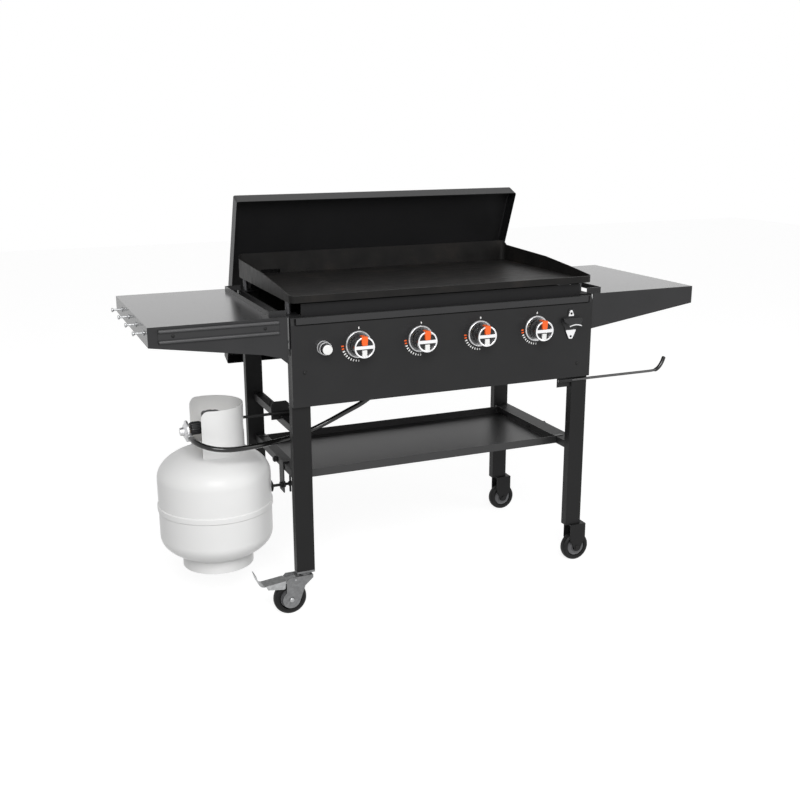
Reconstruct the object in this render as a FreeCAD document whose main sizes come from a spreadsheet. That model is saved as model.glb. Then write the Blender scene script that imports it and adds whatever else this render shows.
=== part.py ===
"""Outdoor gas griddle station: cart, burner box, griddle plate, gas cylinder and hard cover.

Frame: millimetres, X to the right, Y to the back, Z up. The origin lies on the floor, midway
between the left and right legs and below the middle of the burner box.
"""
import FreeCAD, Part
import Sketcher
import math
import os

doc = FreeCAD.newDocument("griddle_station")
sheet = doc.addObject("Spreadsheet::Sheet", "dims")


class Size:
    """A length or angle with its number and the sheet expression that drives it."""

    def __init__(self, number, text):
        self.number = number
        self.text = text

    def combine(self, other, sign, number):
        return Size(number, "(%s %s %s)" % (self.text, sign, text_of(other)))

    def __add__(self, other):
        return self.combine(other, "+", self.number + number_of(other))

    def __sub__(self, other):
        return self.combine(other, "-", self.number - number_of(other))

    def __mul__(self, other):
        return self.combine(other, "*", self.number * number_of(other))

    def __truediv__(self, other):
        return self.combine(other, "/", self.number / number_of(other))

    def __radd__(self, other):
        return Size(float(other), text_of(other)) + self

    def __rsub__(self, other):
        return Size(float(other), text_of(other)) - self

    def __rmul__(self, other):
        return Size(float(other), text_of(other)) * self

    def __neg__(self):
        return Size(-self.number, "(0 - %s)" % self.text)


def number_of(value):
    return value.number if isinstance(value, Size) else float(value)


def text_of(value):
    return value.text if isinstance(value, Size) else repr(float(value))


def sine(angle):
    return Size(math.sin(math.radians(angle.number)), "sin(%s)" % angle.text)


def cosine(angle):
    return Size(math.cos(math.radians(angle.number)), "cos(%s)" % angle.text)


def tangent(angle):
    return Size(math.tan(math.radians(angle.number)), "tan(%s)" % angle.text)


def root(value):
    return Size(math.sqrt(value.number), "sqrt(%s)" % value.text)


rows = []


def dim(alias, value):
    """Write one driving dimension into the sheet and return it as a Size."""
    rows.append(alias)
    row = len(rows)
    sheet.set("A%d" % row, alias)
    sheet.set("B%d" % row, str(value))
    sheet.setAlias("B%d" % row, alias)
    return Size(float(value), "dims.%s" % alias)


# Sheet metal, tubes and clearances
gauge = dim("sheet_gauge", 1.5)
plate_gauge = dim("bracket_gauge", 3)
gap = dim("seat_gap", 0.3)
fit = dim("shaft_fit", 0.1)
bolt_r = dim("bolt_radius", 3)
head_r = dim("bolt_head_radius", 5.5)
head_deep = dim("bolt_head_height", 3)
over = dim("cut_overrun", 1)
press = dim("press_gap", 0.05)
weld = dim("weld_overlap", 0.5)
on_axis = Size(0, "0")

# Cart: four tube legs
half = dim("cart_half_width", 451)
front = -dim("panel_front_reach", 262)
panel_return = dim("panel_return", 13)
rear = dim("leg_rear_reach", 248)
leg_wide = dim("leg_width", 50.8)
leg_deep = dim("leg_depth", 25.4)
tube_wall = dim("tube_wall", 1.5)
leg_bottom = dim("leg_bottom", 120)
body_top = dim("body_top", 827.4)
bolt_level = body_top - dim("shelf_bolt_drop", 67.4)
gusset_thick = dim("gusset_thickness", 2.4)

# Front panel and its controls
panel_bottom = dim("panel_bottom", 588)
band_top = body_top - dim("band_top_drop", 3.4)
panel_fold = band_top - dim("band_height", 18)
band_lean = dim("band_lean", 4)
knob_pitch = dim("knob_pitch", 178.7)
knob_level = dim("knob_level", 742.5)
igniter_x = dim("igniter_offset", -365)
opener_x = dim("opener_offset", 380.6)
knob_hole_r = dim("knob_hole_radius", 9)
igniter_shank_r = dim("igniter_shank_radius", 4)

# Burner box
box_bottom = dim("box_bottom", 725)
guard_half = dim("guard_half_width", 418)
guard_top = body_top + dim("guard_rise", 29.6)
guard_bottom = dim("guard_bottom", 762)
hem = dim("side_hem", 4)

# Griddle plate
plate_half = dim("plate_half_width", 450)
plate_front = -dim("plate_front_reach", 260)
plate_back = dim("plate_rear_reach", 270)
plate_bottom = body_top + dim("griddle_foot_height", 34.6)
plate_thick = dim("plate_thickness", 4.5)
plate_wall = dim("plate_wall", 3)
lip_top = plate_bottom + dim("plate_lip_rise", 18)
side_knee = dim("plate_side_knee", 123)
side_knee_rise = dim("plate_side_knee_rise", 14)
side_mid = plate_bottom + dim("plate_side_middle_rise", 45)
side_back = plate_bottom + dim("plate_side_rear_rise", 54)
plate_top = plate_bottom + dim("plate_rear_rise", 67)
plate_corner = dim("plate_corner_radius", 18)
foot_r = dim("griddle_foot_radius", 7.5)
foot_x = dim("griddle_foot_offset", 440)
foot_front = dim("griddle_foot_front", 205)
foot_back = dim("griddle_foot_rear", 222)

# Side shelves
shelf_end = dim("shelf_reach", 809.3)
shelf_front = -dim("shelf_front_reach", 253.3)
shelf_back = dim("shelf_rear_reach", 269.6)
shelf_deep = dim("shelf_edge_depth", 50.7)
shelf_deep_back = dim("shelf_rear_depth", 46)
shelf_root_deep = dim("shelf_root_depth", 101.9)
seam = dim("shelf_seam", 6)
slot_wide = dim("slot_outer", 498)
slot_front = -dim("slot_front", 228)
slot_back = dim("slot_rear", 235)
slot_lip = dim("slot_lip", 13.6)

# Lower shelf and rails
rail_low = dim("lower_rail_bottom", 361)
rail_tall = dim("rail_height", 21)
rail_wide = dim("left_rail_width", 28)
rail_inset = dim("left_rail_inset", 2)
rail_high = dim("upper_rail_bottom", 491.5)
screw_z = rail_low + rail_tall / 2
tray_front = -dim("tray_front_reach", 173)
tray_back = dim("tray_rear_reach", 195)
tray_tab = dim("tray_tab", 25)
screw_y = dim("tray_screw_offset", -10)
screw_head_r = dim("thumbscrew_radius", 9)
screw_head_long = dim("thumbscrew_head", 12)
screw_nut = dim("thumbscrew_nut", 2.5)
screw_chamfer = dim("thumbscrew_chamfer", 1)
screw_crown = dim("thumbscrew_crown", 4)
screw_neck = dim("thumbscrew_neck", 2)

# Wheels, forks and brackets
wheel_r = dim("wheel_radius", 44)
caster_r = dim("caster_wheel_radius", 46)
wheel_wide = dim("wheel_width", 30)
hub_r = dim("hub_radius", 10)
axle_r = dim("axle_radius", 4)
trail = dim("caster_trail", 45)
fork_thick = dim("fork_thickness", 2.5)
fork_gap = dim("fork_side_gap", 2.5)
fork_half = wheel_wide / 2 + fork_gap + fork_thick
fork_top = dim("fork_top", 110)
kingpin_r = dim("kingpin_radius", 5)
bracket_wide = dim("wheel_bracket_width", 52)
bracket_shift = dim("wheel_bracket_shift", 15)
bracket_shoulder = dim("wheel_bracket_shoulder", 70)

# Gas cylinder
tank_x = -dim("tank_offset", 623)
tank_y = -dim("tank_front_offset", 57)
tank_r = dim("tank_radius", 155.5)
tank_wall = dim("tank_wall", 2.6)
tank_foot = dim("tank_foot_bottom", 110)
foot_ring_r = dim("tank_foot_radius", 98)
shell_low = dim("tank_shell_low", 203)
shell_high = dim("tank_shell_high", 367)
dome_low = dim("tank_lower_dome", 75)
dome_high = dim("tank_upper_dome", 85)
seam_level = dim("tank_seam_level", 285)
collar_r = dim("collar_radius", 87)
collar_top = dim("collar_top", 570)
collar_open = dim("collar_opening_angle", 120)
collar_corner = dim("collar_corner_radius", 22)
neck_r = dim("neck_radius", 12)
neck_top = shell_high + dome_high + dim("neck_height", 10)
boss_wall = dim("neck_boss_wall", 8)
seam_half = dim("tank_seam_half_width", 5)
seam_bead = dim("tank_seam_height", 1.5)
outlet_level = dim("outlet_level", 505)
hook_level = dim("tank_hook_level", 520)
hook_rod_r = dim("tank_hook_rod_radius", 4)
hand_hole = dim("hand_hole_width", 70)
hand_hole_drop = dim("hand_hole_drop", 30)

# Hard cover
cover_half = dim("cover_half_width", 458.6)
cover_long = dim("cover_length", 566)
cover_deep = dim("cover_depth", 45.5)
cover_gauge = dim("cover_gauge", 1.2)
cover_bend = dim("cover_bend_radius", 4)
cover_lean = dim("cover_lean", 22.35)
cover_bottom = body_top - dim("cover_bottom_drop", 265.4)
cover_gap = dim("cover_gap", 6)
hanger_x = dim("hanger_offset", 230)
hanger_wide = dim("hanger_width", 30)
hanger_level = body_top - dim("hanger_drop", 27.4)
tongue_tall = dim("hanger_tongue", 35)
tongue_y = dim("hanger_reach", 350)
strap = dim("strap_gauge", 2)
hanger_foot = dim("hanger_foot", 30)
keeper_wide = dim("keeper_width", 24)
keeper_drop = dim("keeper_drop", 18)
keeper_rise = dim("keeper_rise", 25)

# Planes that several pieces share
legs_front = front + panel_return
leg_inner = half - leg_wide
leg_top = body_top - gusset_thick
front_leg_back = legs_front + leg_deep
rear_leg_front = rear - leg_deep
front_leg_y = legs_front + leg_deep / 2
rear_leg_y = rear - leg_deep / 2
leg_x = half - leg_wide / 2
wall_outer = half + gauge
guard_front = legs_front + dim("guard_setback", 4)
guard_back = guard_front + gauge

ORIGIN_PLANES = {"x": "YZ_Plane", "y": "XZ_Plane", "z": "XY_Plane"}
TURNS = {
    "x": FreeCAD.Rotation(FreeCAD.Vector(0, 1, 0), 90),
    "y": FreeCAD.Rotation(FreeCAD.Vector(1, 0, 0), -90),
    "z": FreeCAD.Rotation(),
}


def bind(thing, prop, value):
    """Drive a property by its size, or set it where it is a plain number."""
    thing.setExpression(prop, text_of(value))


def place(thing, x, y, z):
    bind(thing, ".Placement.Base.x", x)
    bind(thing, ".Placement.Base.y", y)
    bind(thing, ".Placement.Base.z", z)
    return thing


# Bodies made from sketches
def new_body(label):
    made = doc.addObject("PartDesign::Body", label)
    made.Label = label
    return made


def new_sketch(body, name, along, offset):
    """A sketch square to the axis named by along; XZ sketches look along -Y."""
    sketch = body.newObject("Sketcher::SketchObject", name)
    role = ORIGIN_PLANES[along]
    plane = [item for item in body.Origin.OriginFeatures if item.Role == role][0]
    sketch.AttachmentSupport = [(plane, "")]
    sketch.MapMode = "FlatFace"
    bind(sketch, ".AttachmentOffset.Base.z", offset)
    return sketch


def fix_value(sketch, name, kind, places, value):
    """Add one dimension, bound to its size."""
    index = sketch.addConstraint(Sketcher.Constraint(kind, *places, number_of(value)))
    sketch.renameConstraint(index, name)
    if isinstance(value, Size):
        sketch.setExpression("Constraints.%s" % name, value.text)


def polygon(sketch, corners):
    """A closed outline whose corners are dimensioned from the origin."""
    points = [FreeCAD.Vector(number_of(a), number_of(b), 0) for a, b in corners]
    count = len(points)
    for index in range(count):
        sketch.addGeometry(Part.LineSegment(points[index], points[(index + 1) % count]), False)
    for index in range(count):
        sketch.addConstraint(Sketcher.Constraint("Coincident", index, 2, (index + 1) % count, 1))
    for index, (a, b) in enumerate(corners):
        fix_value(sketch, "across%d" % index, "DistanceX", (-1, 1, index, 1), a)
        fix_value(sketch, "up%d" % index, "DistanceY", (-1, 1, index, 1), b)


def ring(sketch, centre, radius):
    middle = FreeCAD.Vector(number_of(centre[0]), number_of(centre[1]), 0)
    index = sketch.addGeometry(Part.Circle(middle, FreeCAD.Vector(0, 0, 1), number_of(radius)), False)
    fix_value(sketch, "across%d" % index, "DistanceX", (-1, 1, index, 3), centre[0])
    fix_value(sketch, "up%d" % index, "DistanceY", (-1, 1, index, 3), centre[1])
    fix_value(sketch, "radius%d" % index, "Radius", (index,), radius)


def rectangle(across, up):
    """Corners of a rectangle from two ranges."""
    return [(across[0], up[0]), (across[1], up[0]), (across[1], up[1]), (across[0], up[1])]


def arc_points(centre, radius, start, stop, steps):
    """Points along an arc about a centre, between two angles in degrees."""
    points = []
    for number in range(steps + 1):
        angle = math.radians(start + (stop - start) * number / steps)
        across = centre[0] + radius * math.cos(angle)
        points.append((across, centre[1] + radius * math.sin(angle)))
    return points


def pad(body, name, along, low, high, corners):
    """Pad an outline from low to high along an axis."""
    sketch = new_sketch(body, name + "_outline", along, -high if along == "y" else low)
    polygon(sketch, corners)
    feature = body.newObject("PartDesign::Pad", name)
    feature.Profile = sketch
    bind(feature, "Length", high - low)
    return feature


def pad_round(body, name, along, low, high, centre, radius):
    """Pad a disc from low to high along an axis."""
    sketch = new_sketch(body, name + "_disc", along, -high if along == "y" else low)
    ring(sketch, centre, radius)
    feature = body.newObject("PartDesign::Pad", name)
    feature.Profile = sketch
    bind(feature, "Length", high - low)
    return feature


def pocket(body, name, along, low, high, corners):
    """Cut an outline out of the body from low to high along an axis."""
    sketch = new_sketch(body, name + "_outline", along, -low if along == "y" else high)
    polygon(sketch, corners)
    feature = body.newObject("PartDesign::Pocket", name)
    feature.Profile = sketch
    bind(feature, "Length", high - low)
    return feature


def bore(body, name, along, low, high, holes):
    """Cut round holes, given as (across, up, radius), from low to high along an axis."""
    sketch = new_sketch(body, name + "_rings", along, -low if along == "y" else high)
    for across, up, radius in holes:
        ring(sketch, (across, up), radius)
    feature = body.newObject("PartDesign::Pocket", name)
    feature.Profile = sketch
    bind(feature, "Length", high - low)
    return feature


def turn(body, name, along, profile):
    """Revolve a profile of (distance along the axis, radius) points about the body's own axis."""
    plane = "x" if along == "y" else "y"
    sketch = new_sketch(body, name + "_profile", plane, 0)
    if along == "z":
        polygon(sketch, [(radius, way) for way, radius in profile])
    else:
        polygon(sketch, profile)
    feature = body.newObject("PartDesign::Revolution", name)
    feature.Profile = sketch
    feature.ReferenceAxis = (sketch, ["V_Axis" if along == "z" else "H_Axis"])
    feature.Angle = 360
    return feature


def soften(body, name, radius, wanted):
    """Fillet the edges that the test picks from the shape so far."""
    doc.recompute()
    base = body.Tip
    names = ["Edge%d" % (i + 1) for i, edge in enumerate(base.Shape.Edges) if wanted(edge)]
    feature = body.newObject("PartDesign::Fillet", name)
    feature.Base = (base, names)
    bind(feature, "Radius", radius)
    return feature


def runs_along(edge, axis):
    ends = [vertex.Point for vertex in edge.Vertexes]
    if len(ends) != 2:
        return False
    way = ends[1] - ends[0]
    return abs(way.dot(axis)) > nearly * way.Length


UPRIGHT = FreeCAD.Vector(0, 0, 1)
nearly = 0.999
near = 0.01


def upright_within(across, up):
    """A test for upright edges whose middle lies within two ranges."""
    low_x, high_x, low_y, high_y = [number_of(value) for value in across + up]

    def wanted(edge):
        spot = edge.CenterOfMass
        inside_x = low_x - near < spot.x < high_x + near
        inside_y = low_y - near < spot.y < high_y + near
        return runs_along(edge, UPRIGHT) and inside_x and inside_y

    return wanted


def upright_beyond(reach, middle=0):
    """A test for upright edges further than reach from a middle X."""

    def wanted(edge):
        spot = edge.CenterOfMass
        away = abs(spot.x - number_of(middle)) > number_of(reach) + near
        return runs_along(edge, UPRIGHT) and away

    return wanted


def turned(label, along, profile, centre):
    """A body of its own, revolved about an axis through centre."""
    body = new_body(label)
    turn(body, label + "_turn", along, profile)
    return place(body, *centre)


# Primitives and booleans
def block(label, x, y, z):
    made = doc.addObject("Part::Box", label)
    for prop, (low, high) in (("Length", x), ("Width", y), ("Height", z)):
        bind(made, prop, high - low)
    return place(made, x[0], y[0], z[0])


def rod(label, along, radius, centre, low, high):
    """A cylinder along an axis; centre gives the other two coordinates in order."""
    made = doc.addObject("Part::Cylinder", label)
    bind(made, "Radius", radius)
    bind(made, "Height", high - low)
    made.Placement.Rotation = TURNS[along]
    first, second = centre
    spots = {"x": (low, first, second), "y": (first, low, second), "z": (first, second, low)}
    return place(made, *spots[along])


def union(label, parts):
    made = doc.addObject("Part::MultiFuse", label)
    made.Shapes = parts
    made.Refine = True
    return made


def difference(label, base, tools):
    made = doc.addObject("Part::Cut", label)
    made.Base = base
    made.Tool = tools[0] if len(tools) == 1 else union(label + "_tools", tools)
    return made


def group(label, solids):
    """Separate solids of one kind that share a name."""
    made = doc.addObject("Part::Compound", label)
    made.Links = solids
    return made


def mirror_span(side, near, far):
    """An X range on the right (side 1) or mirrored on the left (side -1)."""
    return (near, far) if side > 0 else (-far, -near)


def bent_path(points, radii):
    """Straight runs through the points, joined by tangent arcs of the given radii."""
    edges = []
    start = points[0]
    for before, corner, after, radius in zip(points, points[1:], points[2:], radii):
        into = (corner - before).normalize()
        out = (after - corner).normalize()
        half_turn = math.acos(max(-1.0, min(1.0, into.dot(out)))) / 2
        reach = radius * math.tan(half_turn)
        first = corner - into * reach
        last = corner + out * reach
        inward = (out - into).normalize()
        middle = corner + inward * (radius / math.cos(half_turn) - radius)
        edges.append(Part.LineSegment(start, first).toShape())
        edges.append(Part.Arc(first, middle, last).toShape())
        start = last
    edges.append(Part.LineSegment(start, points[-1]).toShape())
    return Part.Wire(edges)


def swept(label, path, radius):
    """A round bar or hose along a path of lines and arcs."""
    start = path.Edges[0].firstVertex().Point
    way = path.Edges[0].lastVertex().Point - start
    section = Part.Wire([Part.makeCircle(number_of(radius), start, way)])
    shape = path.makePipeShell([section], True, False)
    expected = math.pi * number_of(radius) ** 2 * path.Length
    print("%s: length %.1f, volume ratio %.5f" % (label, path.Length, shape.Volume / expected))
    made = doc.addObject("Part::Feature", label)
    made.Shape = shape
    return made


def vector(x, y, z):
    return FreeCAD.Vector(number_of(x), number_of(y), number_of(z))


def knob_x(index):
    return knob_pitch * (index - 1.5)


# Fasteners: a domed head seated on a face, with its shank beyond
crown_r = dim("bolt_crown_radius", 2.5)
dome_r = dim("bolt_dome_radius", 4.7)
dome_deep = dim("bolt_dome_height", 1.8)
bolt_end = dim("bolt_end", 4)


def bolt(label, along, seat, centre, way, length):
    """way is +1 where the shank runs along the axis, -1 where it runs against it."""
    body = new_body(label)
    profile = [
        (-way * head_deep, 0),
        (-way * head_deep, crown_r),
        (-way * dome_deep, dome_r),
        (0, head_r),
        (0, bolt_r),
        (way * length, bolt_r),
        (way * length, 0),
    ]
    turn(body, label + "_turn", along, profile)
    first, second = centre
    spots = {"x": (seat, first, second), "y": (first, seat, second), "z": (first, second, seat)}
    return place(body, *spots[along])


panel_bolt_left = dim("panel_bolt_left", -417)
panel_bolt_left_level = dim("panel_bolt_left_level", 680)
panel_bolt_right = dim("panel_bolt_right", 409)
panel_bolt_right_level = dim("panel_bolt_right_level", 628)
panel_bolts = (
    (panel_bolt_left, panel_bolt_left_level),
    (panel_bolt_right, panel_bolt_right_level),
)
shelf_bolt_front = front_leg_y
shelf_bolt_back = slot_back + head_r + gap
shank_free = bolt_r + gap


def shelf_bolt_places():
    return ((side, y) for side in (-1, 1) for y in (shelf_bolt_front, shelf_bolt_back))


def frame_bolts():
    """Panel bolts, shelf bolts and the axle bolts of the fixed wheels."""
    solids = []
    for number, (x, z) in enumerate(panel_bolts):
        length = panel_return + tube_wall + bolt_end
        solids.append(bolt("panel_bolt_%d" % number, "y", front, (x, z), 1, length))
    for number, (side, y) in enumerate(shelf_bolt_places()):
        seat = side * (wall_outer + gauge)
        length = gauge * 2 + tube_wall + bolt_end
        solids.append(bolt("shelf_bolt_%d" % number, "x", seat, (y, bolt_level), -side, length))
    for name, y in (("front", front_leg_y), ("rear", rear_leg_y)):
        solids.append(axle_bolt("wheel_axle_%s" % name, (wheel_x, y, wheel_r), fork_half))
    return group("frame_bolts", solids)


axle_head_r = axle_r + dim("axle_head_rim", 3)
axle_crown_r = axle_r + dim("axle_crown_rim", 1.5)


def axle_bolt(label, centre, reach):
    """An axle between two cheeks, with a head in front and a nut behind."""
    profile = [
        (-(reach + head_deep), 0),
        (-(reach + head_deep), axle_crown_r),
        (-(reach + head_deep / 3), axle_head_r),
        (-reach, axle_head_r),
        (-reach, axle_r),
        (reach, axle_r),
        (reach, axle_head_r),
        (reach + head_deep, axle_head_r),
        (reach + head_deep, 0),
    ]
    return turned(label, "y", profile, centre)


# Legs: two tubes to a node, with holes for the bolts that pass their walls
def leg(label, side, y_low):
    x = mirror_span(side, leg_inner, half)
    y = (y_low, y_low + leg_deep)
    inner_x = (x[0] + tube_wall, x[1] - tube_wall)
    inner_y = (y[0] + tube_wall, y[1] - tube_wall)
    tube = block(label + "_tube", x, y, (leg_bottom, leg_top))
    tools = [block(label + "_bore", inner_x, inner_y, (leg_bottom - over, leg_top + over))]
    bolt_y = shelf_bolt_front if y_low is legs_front else shelf_bolt_back
    outer = mirror_span(side, half - tube_wall * 2, half + over)
    tools.append(rod(label + "_shelf_hole", "x", shank_free, (bolt_y, bolt_level), *outer))
    if y_low is legs_front:
        bolt_x, bolt_z = panel_bolts[0 if side < 0 else 1]
        through = (legs_front - over, legs_front + tube_wall * 2)
        tools.append(rod(label + "_panel_hole", "y", shank_free, (bolt_x, bolt_z), *through))
    return difference(label, tube, tools)


def legs(label, side):
    solids = [leg(label + "_front", side, legs_front), leg(label + "_rear", side, rear_leg_front)]
    return group(label, solids)


# Rails: box tubes that run between the front and rear legs of one side
def rail(label, x, bottom):
    y = (front_leg_back, rear_leg_front)
    inner_x = (x[0] + tube_wall, x[1] - tube_wall)
    inner_z = (bottom + tube_wall, bottom + rail_tall - tube_wall)
    tube = block(label + "_tube", x, y, (bottom, bottom + rail_tall))
    hollow = block(label + "_bore", inner_x, (y[0] - over, y[1] + over), inner_z)
    tools = [hollow]
    if bottom is rail_low:
        through = (x[0] - over, x[1] + over)
        tools.append(rod(label + "_hole", "x", shank_free, (screw_y, screw_z), *through))
    return difference(label, tube, tools)


left_rail_x = (-(leg_inner + rail_inset + rail_wide), -(leg_inner + rail_inset))
right_rail_x = (leg_inner + rail_inset, half)


def left_rails():
    lower = rail("left_lower_rail", left_rail_x, rail_low)
    upper = rail("left_upper_rail", left_rail_x, rail_high)
    return group("left_rails", [lower, upper])


# Lower shelf: a folded tray hung between the rails by tabs on its front and rear walls
def bottom_shelf():
    body = new_body("bottom_shelf")
    edge = leg_inner + rail_inset
    top = rail_low + rail_tall
    whole = rectangle((-edge, edge), (tray_front, tray_back))
    pad(body, "tray_block", "z", rail_low, top + gauge, whole)
    inner_y = (tray_front + gauge, tray_back - gauge)
    inner = rectangle((-edge + gauge, edge - gauge), inner_y)
    pocket(body, "tray_inside", "z", rail_low + gauge, top + gauge, inner)
    side_cut = rectangle((tray_front + tray_tab, tray_back - tray_tab), (top, top + gauge))
    pocket(body, "tray_side_drop", "x", -edge, edge, side_cut)
    for name, side in (("left", -1), ("right", 1)):
        x = mirror_span(side, edge - gauge, edge + tray_tab)
        front_y = (tray_front, tray_front + tray_tab / 2)
        rear_y = (tray_back - tray_tab / 2, tray_back)
        for end, y in (("front", front_y), ("rear", rear_y)):
            pad(body, "tray_tab_%s_%s" % (name, end), "z", top, top + gauge, rectangle(x, y))
    holes = [(screw_y, screw_z, shank_free)]
    bore(body, "tray_screw_holes", "x", -edge, edge, holes)
    return body


def shelf_thumbscrews():
    """A round-headed screw through each lower rail, with its nut inside the tray."""
    solids = []
    rim = screw_head_r * 0.6
    for name, side, outer in (("left", -1, -left_rail_x[0]), ("right", 1, right_rail_x[1])):
        inner = leg_inner + rail_inset - gauge
        tip = outer + screw_head_long
        profile = [
            (tip, 0),
            (tip - screw_chamfer, rim),
            (tip - screw_crown, screw_head_r),
            (outer + screw_neck, screw_head_r),
            (outer, rim),
            (outer, bolt_r),
            (inner, bolt_r),
            (inner, bolt_r * 2),
            (inner - screw_nut, bolt_r * 2),
            (inner - screw_nut, 0),
        ]
        signed = [(side * way, radius) for way, radius in profile]
        solids.append(turned("thumbscrew_" + name, "x", signed, (0, screw_y, screw_z)))
    return group("shelf_thumbscrews", solids)


# Front panel: a pressed sheet with a leaning top band, a top flange and end returns
def front_panel():
    body = new_body("front_panel")
    inner = front + gauge
    lean = front + band_lean
    section = [
        (legs_front, panel_bottom),
        (front, panel_bottom),
        (front, panel_fold),
        (lean, band_top),
        (legs_front, band_top),
        (legs_front, band_top - gauge),
        (lean + gauge, band_top - gauge),
        (inner, panel_fold),
        (inner, panel_bottom + gauge),
        (legs_front, panel_bottom + gauge),
    ]
    pad(body, "panel_section", "x", -half, half, section)
    flange = rectangle((-leg_inner, leg_inner), (lean + gauge, guard_front))
    pad(body, "panel_top_flange", "z", band_top - gauge, band_top, flange)
    for name, side in (("left", -1), ("right", 1)):
        ends = mirror_span(side, half - gauge, half)
        return_sheet = rectangle((inner, legs_front), (panel_bottom, panel_fold))
        pad(body, "panel_end_" + name, "x", *ends, return_sheet)
    holes = [(knob_x(i), knob_level, knob_hole_r) for i in range(4)]
    holes.append((igniter_x, knob_level, igniter_shank_r + gap))
    holes += [(x, z, shank_free) for x, z in panel_bolts]
    bore(body, "panel_holes", "y", front - over, inner + over, holes)
    return body


# Burner box: welded side walls, rear wall, floor and corner gussets
def firebox():
    body = new_body("firebox")
    wall = [
        (-wall_outer, legs_front),
        (-half, legs_front),
        (-half, rear),
        (half, rear),
        (half, legs_front),
        (wall_outer, legs_front),
        (wall_outer, rear + gauge),
        (-wall_outer, rear + gauge),
    ]
    pad(body, "box_walls", "z", box_bottom, body_top, wall)
    floor = rectangle((-half, half), (front_leg_back, rear_leg_front))
    pad(body, "box_floor", "z", box_bottom, box_bottom + gauge, floor)
    floor_tail = rectangle((-leg_inner, leg_inner), (rear_leg_front, rear))
    pad(body, "box_floor_rear", "z", box_bottom, box_bottom + gauge, floor_tail)
    rear_guard = rectangle((-guard_half, guard_half), (body_top, guard_top))
    pad(body, "box_rear_guard", "y", rear, rear + gauge, rear_guard)
    for name, side in (("left", -1), ("right", 1)):
        edge = mirror_span(side, wall_outer, wall_outer + hem)
        hem_outline = rectangle(edge, (slot_front + gap, slot_back - gap))
        pad(body, "box_hem_" + name, "z", body_top - gauge, body_top, hem_outline)
        span = mirror_span(side, foot_x - foot_r * 3, half)
        for end, y in (
            ("front", (guard_back, -(foot_front - foot_r * 2))),
            ("rear", (foot_back - foot_r * 3, rear)),
        ):
            pad(body, "gusset_%s_%s" % (name, end), "z", leg_top, body_top, rectangle(span, y))
    cup_tab(body)
    holes = [(y, bolt_level, shank_free) for y in (shelf_bolt_front, shelf_bolt_back)]
    bore(body, "box_bolt_holes", "x", -wall_outer - over, wall_outer + over, holes)
    return body


def wind_guard():
    """The upright sheet behind the front panel's top flange."""
    body = new_body("wind_guard")
    section = [
        (front + gauge, guard_bottom),
        (guard_back, guard_bottom),
        (guard_back, guard_top),
        (guard_front, guard_top),
        (guard_front, guard_bottom + gauge),
        (front + gauge, guard_bottom + gauge),
    ]
    pad(body, "guard_section", "x", -leg_inner, leg_inner, section)
    band = rectangle((-guard_half, guard_half), (leg_top, guard_top))
    pad(body, "guard_band", "y", guard_front, guard_back, band)
    return body


# Side shelves: one folded sheet each, open beside the burner box
def side_shelf(label, side):
    body = new_body(label)
    edge = wall_outer

    def flip(points):
        return [(side * x, y) for x, y in points]

    top = [
        (edge, shelf_front),
        (shelf_end, shelf_front),
        (shelf_end, shelf_back),
        (edge, shelf_back),
        (edge, slot_back),
        (slot_wide, slot_back),
        (slot_wide, slot_front),
        (edge, slot_front),
    ]
    pad(body, label + "_top", "z", body_top - gauge, body_top, flip(top))
    apron = [
        (half + seam, body_top),
        (shelf_end, body_top),
        (shelf_end, body_top - shelf_deep),
        (half + seam, body_top - shelf_root_deep),
    ]
    if side < 0:
        apron[3:] = left_apron_tab()
    pad(body, label + "_front_apron", "y", shelf_front, shelf_front + gauge, flip(apron))
    back_apron = [
        (half + seam, body_top),
        (shelf_end, body_top),
        (shelf_end, body_top - shelf_deep_back),
        (half + seam, body_top - shelf_root_deep),
    ]
    pad(body, label + "_rear_apron", "y", shelf_back - gauge, shelf_back, flip(back_apron))
    end_outline = [
        (shelf_front, body_top),
        (shelf_back, body_top),
        (shelf_back, body_top - shelf_deep_back),
        (shelf_front, body_top - shelf_deep),
    ]
    pad(body, label + "_end", "x", *mirror_span(side, shelf_end - gauge, shelf_end), end_outline)
    lip = [
        (edge, slot_front - gauge),
        (slot_wide + gauge, slot_front - gauge),
        (slot_wide + gauge, slot_back + gauge),
        (edge, slot_back + gauge),
        (edge, slot_back),
        (slot_wide, slot_back),
        (slot_wide, slot_front),
        (edge, slot_front),
    ]
    pad(body, label + "_slot_lip", "z", body_top - gauge, body_top + slot_lip, flip(lip))
    tab_x = mirror_span(side, edge, edge + gauge)
    tab_bottom = bolt_level - head_r * 3
    front_tab = rectangle((shelf_front, slot_front), (tab_bottom, body_top))
    rear_tab = rectangle((slot_back, shelf_back), (tab_bottom, body_top))
    pad(body, label + "_front_tab", "x", *tab_x, front_tab)
    pad(body, label + "_rear_tab", "x", *tab_x, rear_tab)
    holes = [(y, bolt_level, shank_free) for y in (shelf_bolt_front, shelf_bolt_back)]
    reach = mirror_span(side, edge - over, edge + gauge + over)
    bore(body, label + "_bolt_holes", "x", *reach, holes)
    if side < 0:
        through = (shelf_front - over, shelf_front + gauge + over)
        strip_holes = [(-x, strip_level, shank_free) for x in strip_screws]
        bore(body, label + "_strip_holes", "y", *through, strip_holes)
    return body


tab_level = body_top - dim("left_tab_depth", 123.4)
tab_width = dim("left_tab_width", 20)
tab_shoulder = dim("left_tab_shoulder", 4)
tab_flare = dim("left_tab_flare", 66)
tab_flare_rise = dim("left_tab_flare_rise", 9)


def left_apron_tab():
    """The left front apron ends in a deeper tab beside the front panel."""
    root_x = half + seam
    root_z = body_top - shelf_root_deep
    return [
        (root_x + tab_flare, root_z + tab_flare_rise),
        (root_x + tab_width, root_z - tab_shoulder),
        (root_x, tab_level),
    ]


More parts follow.
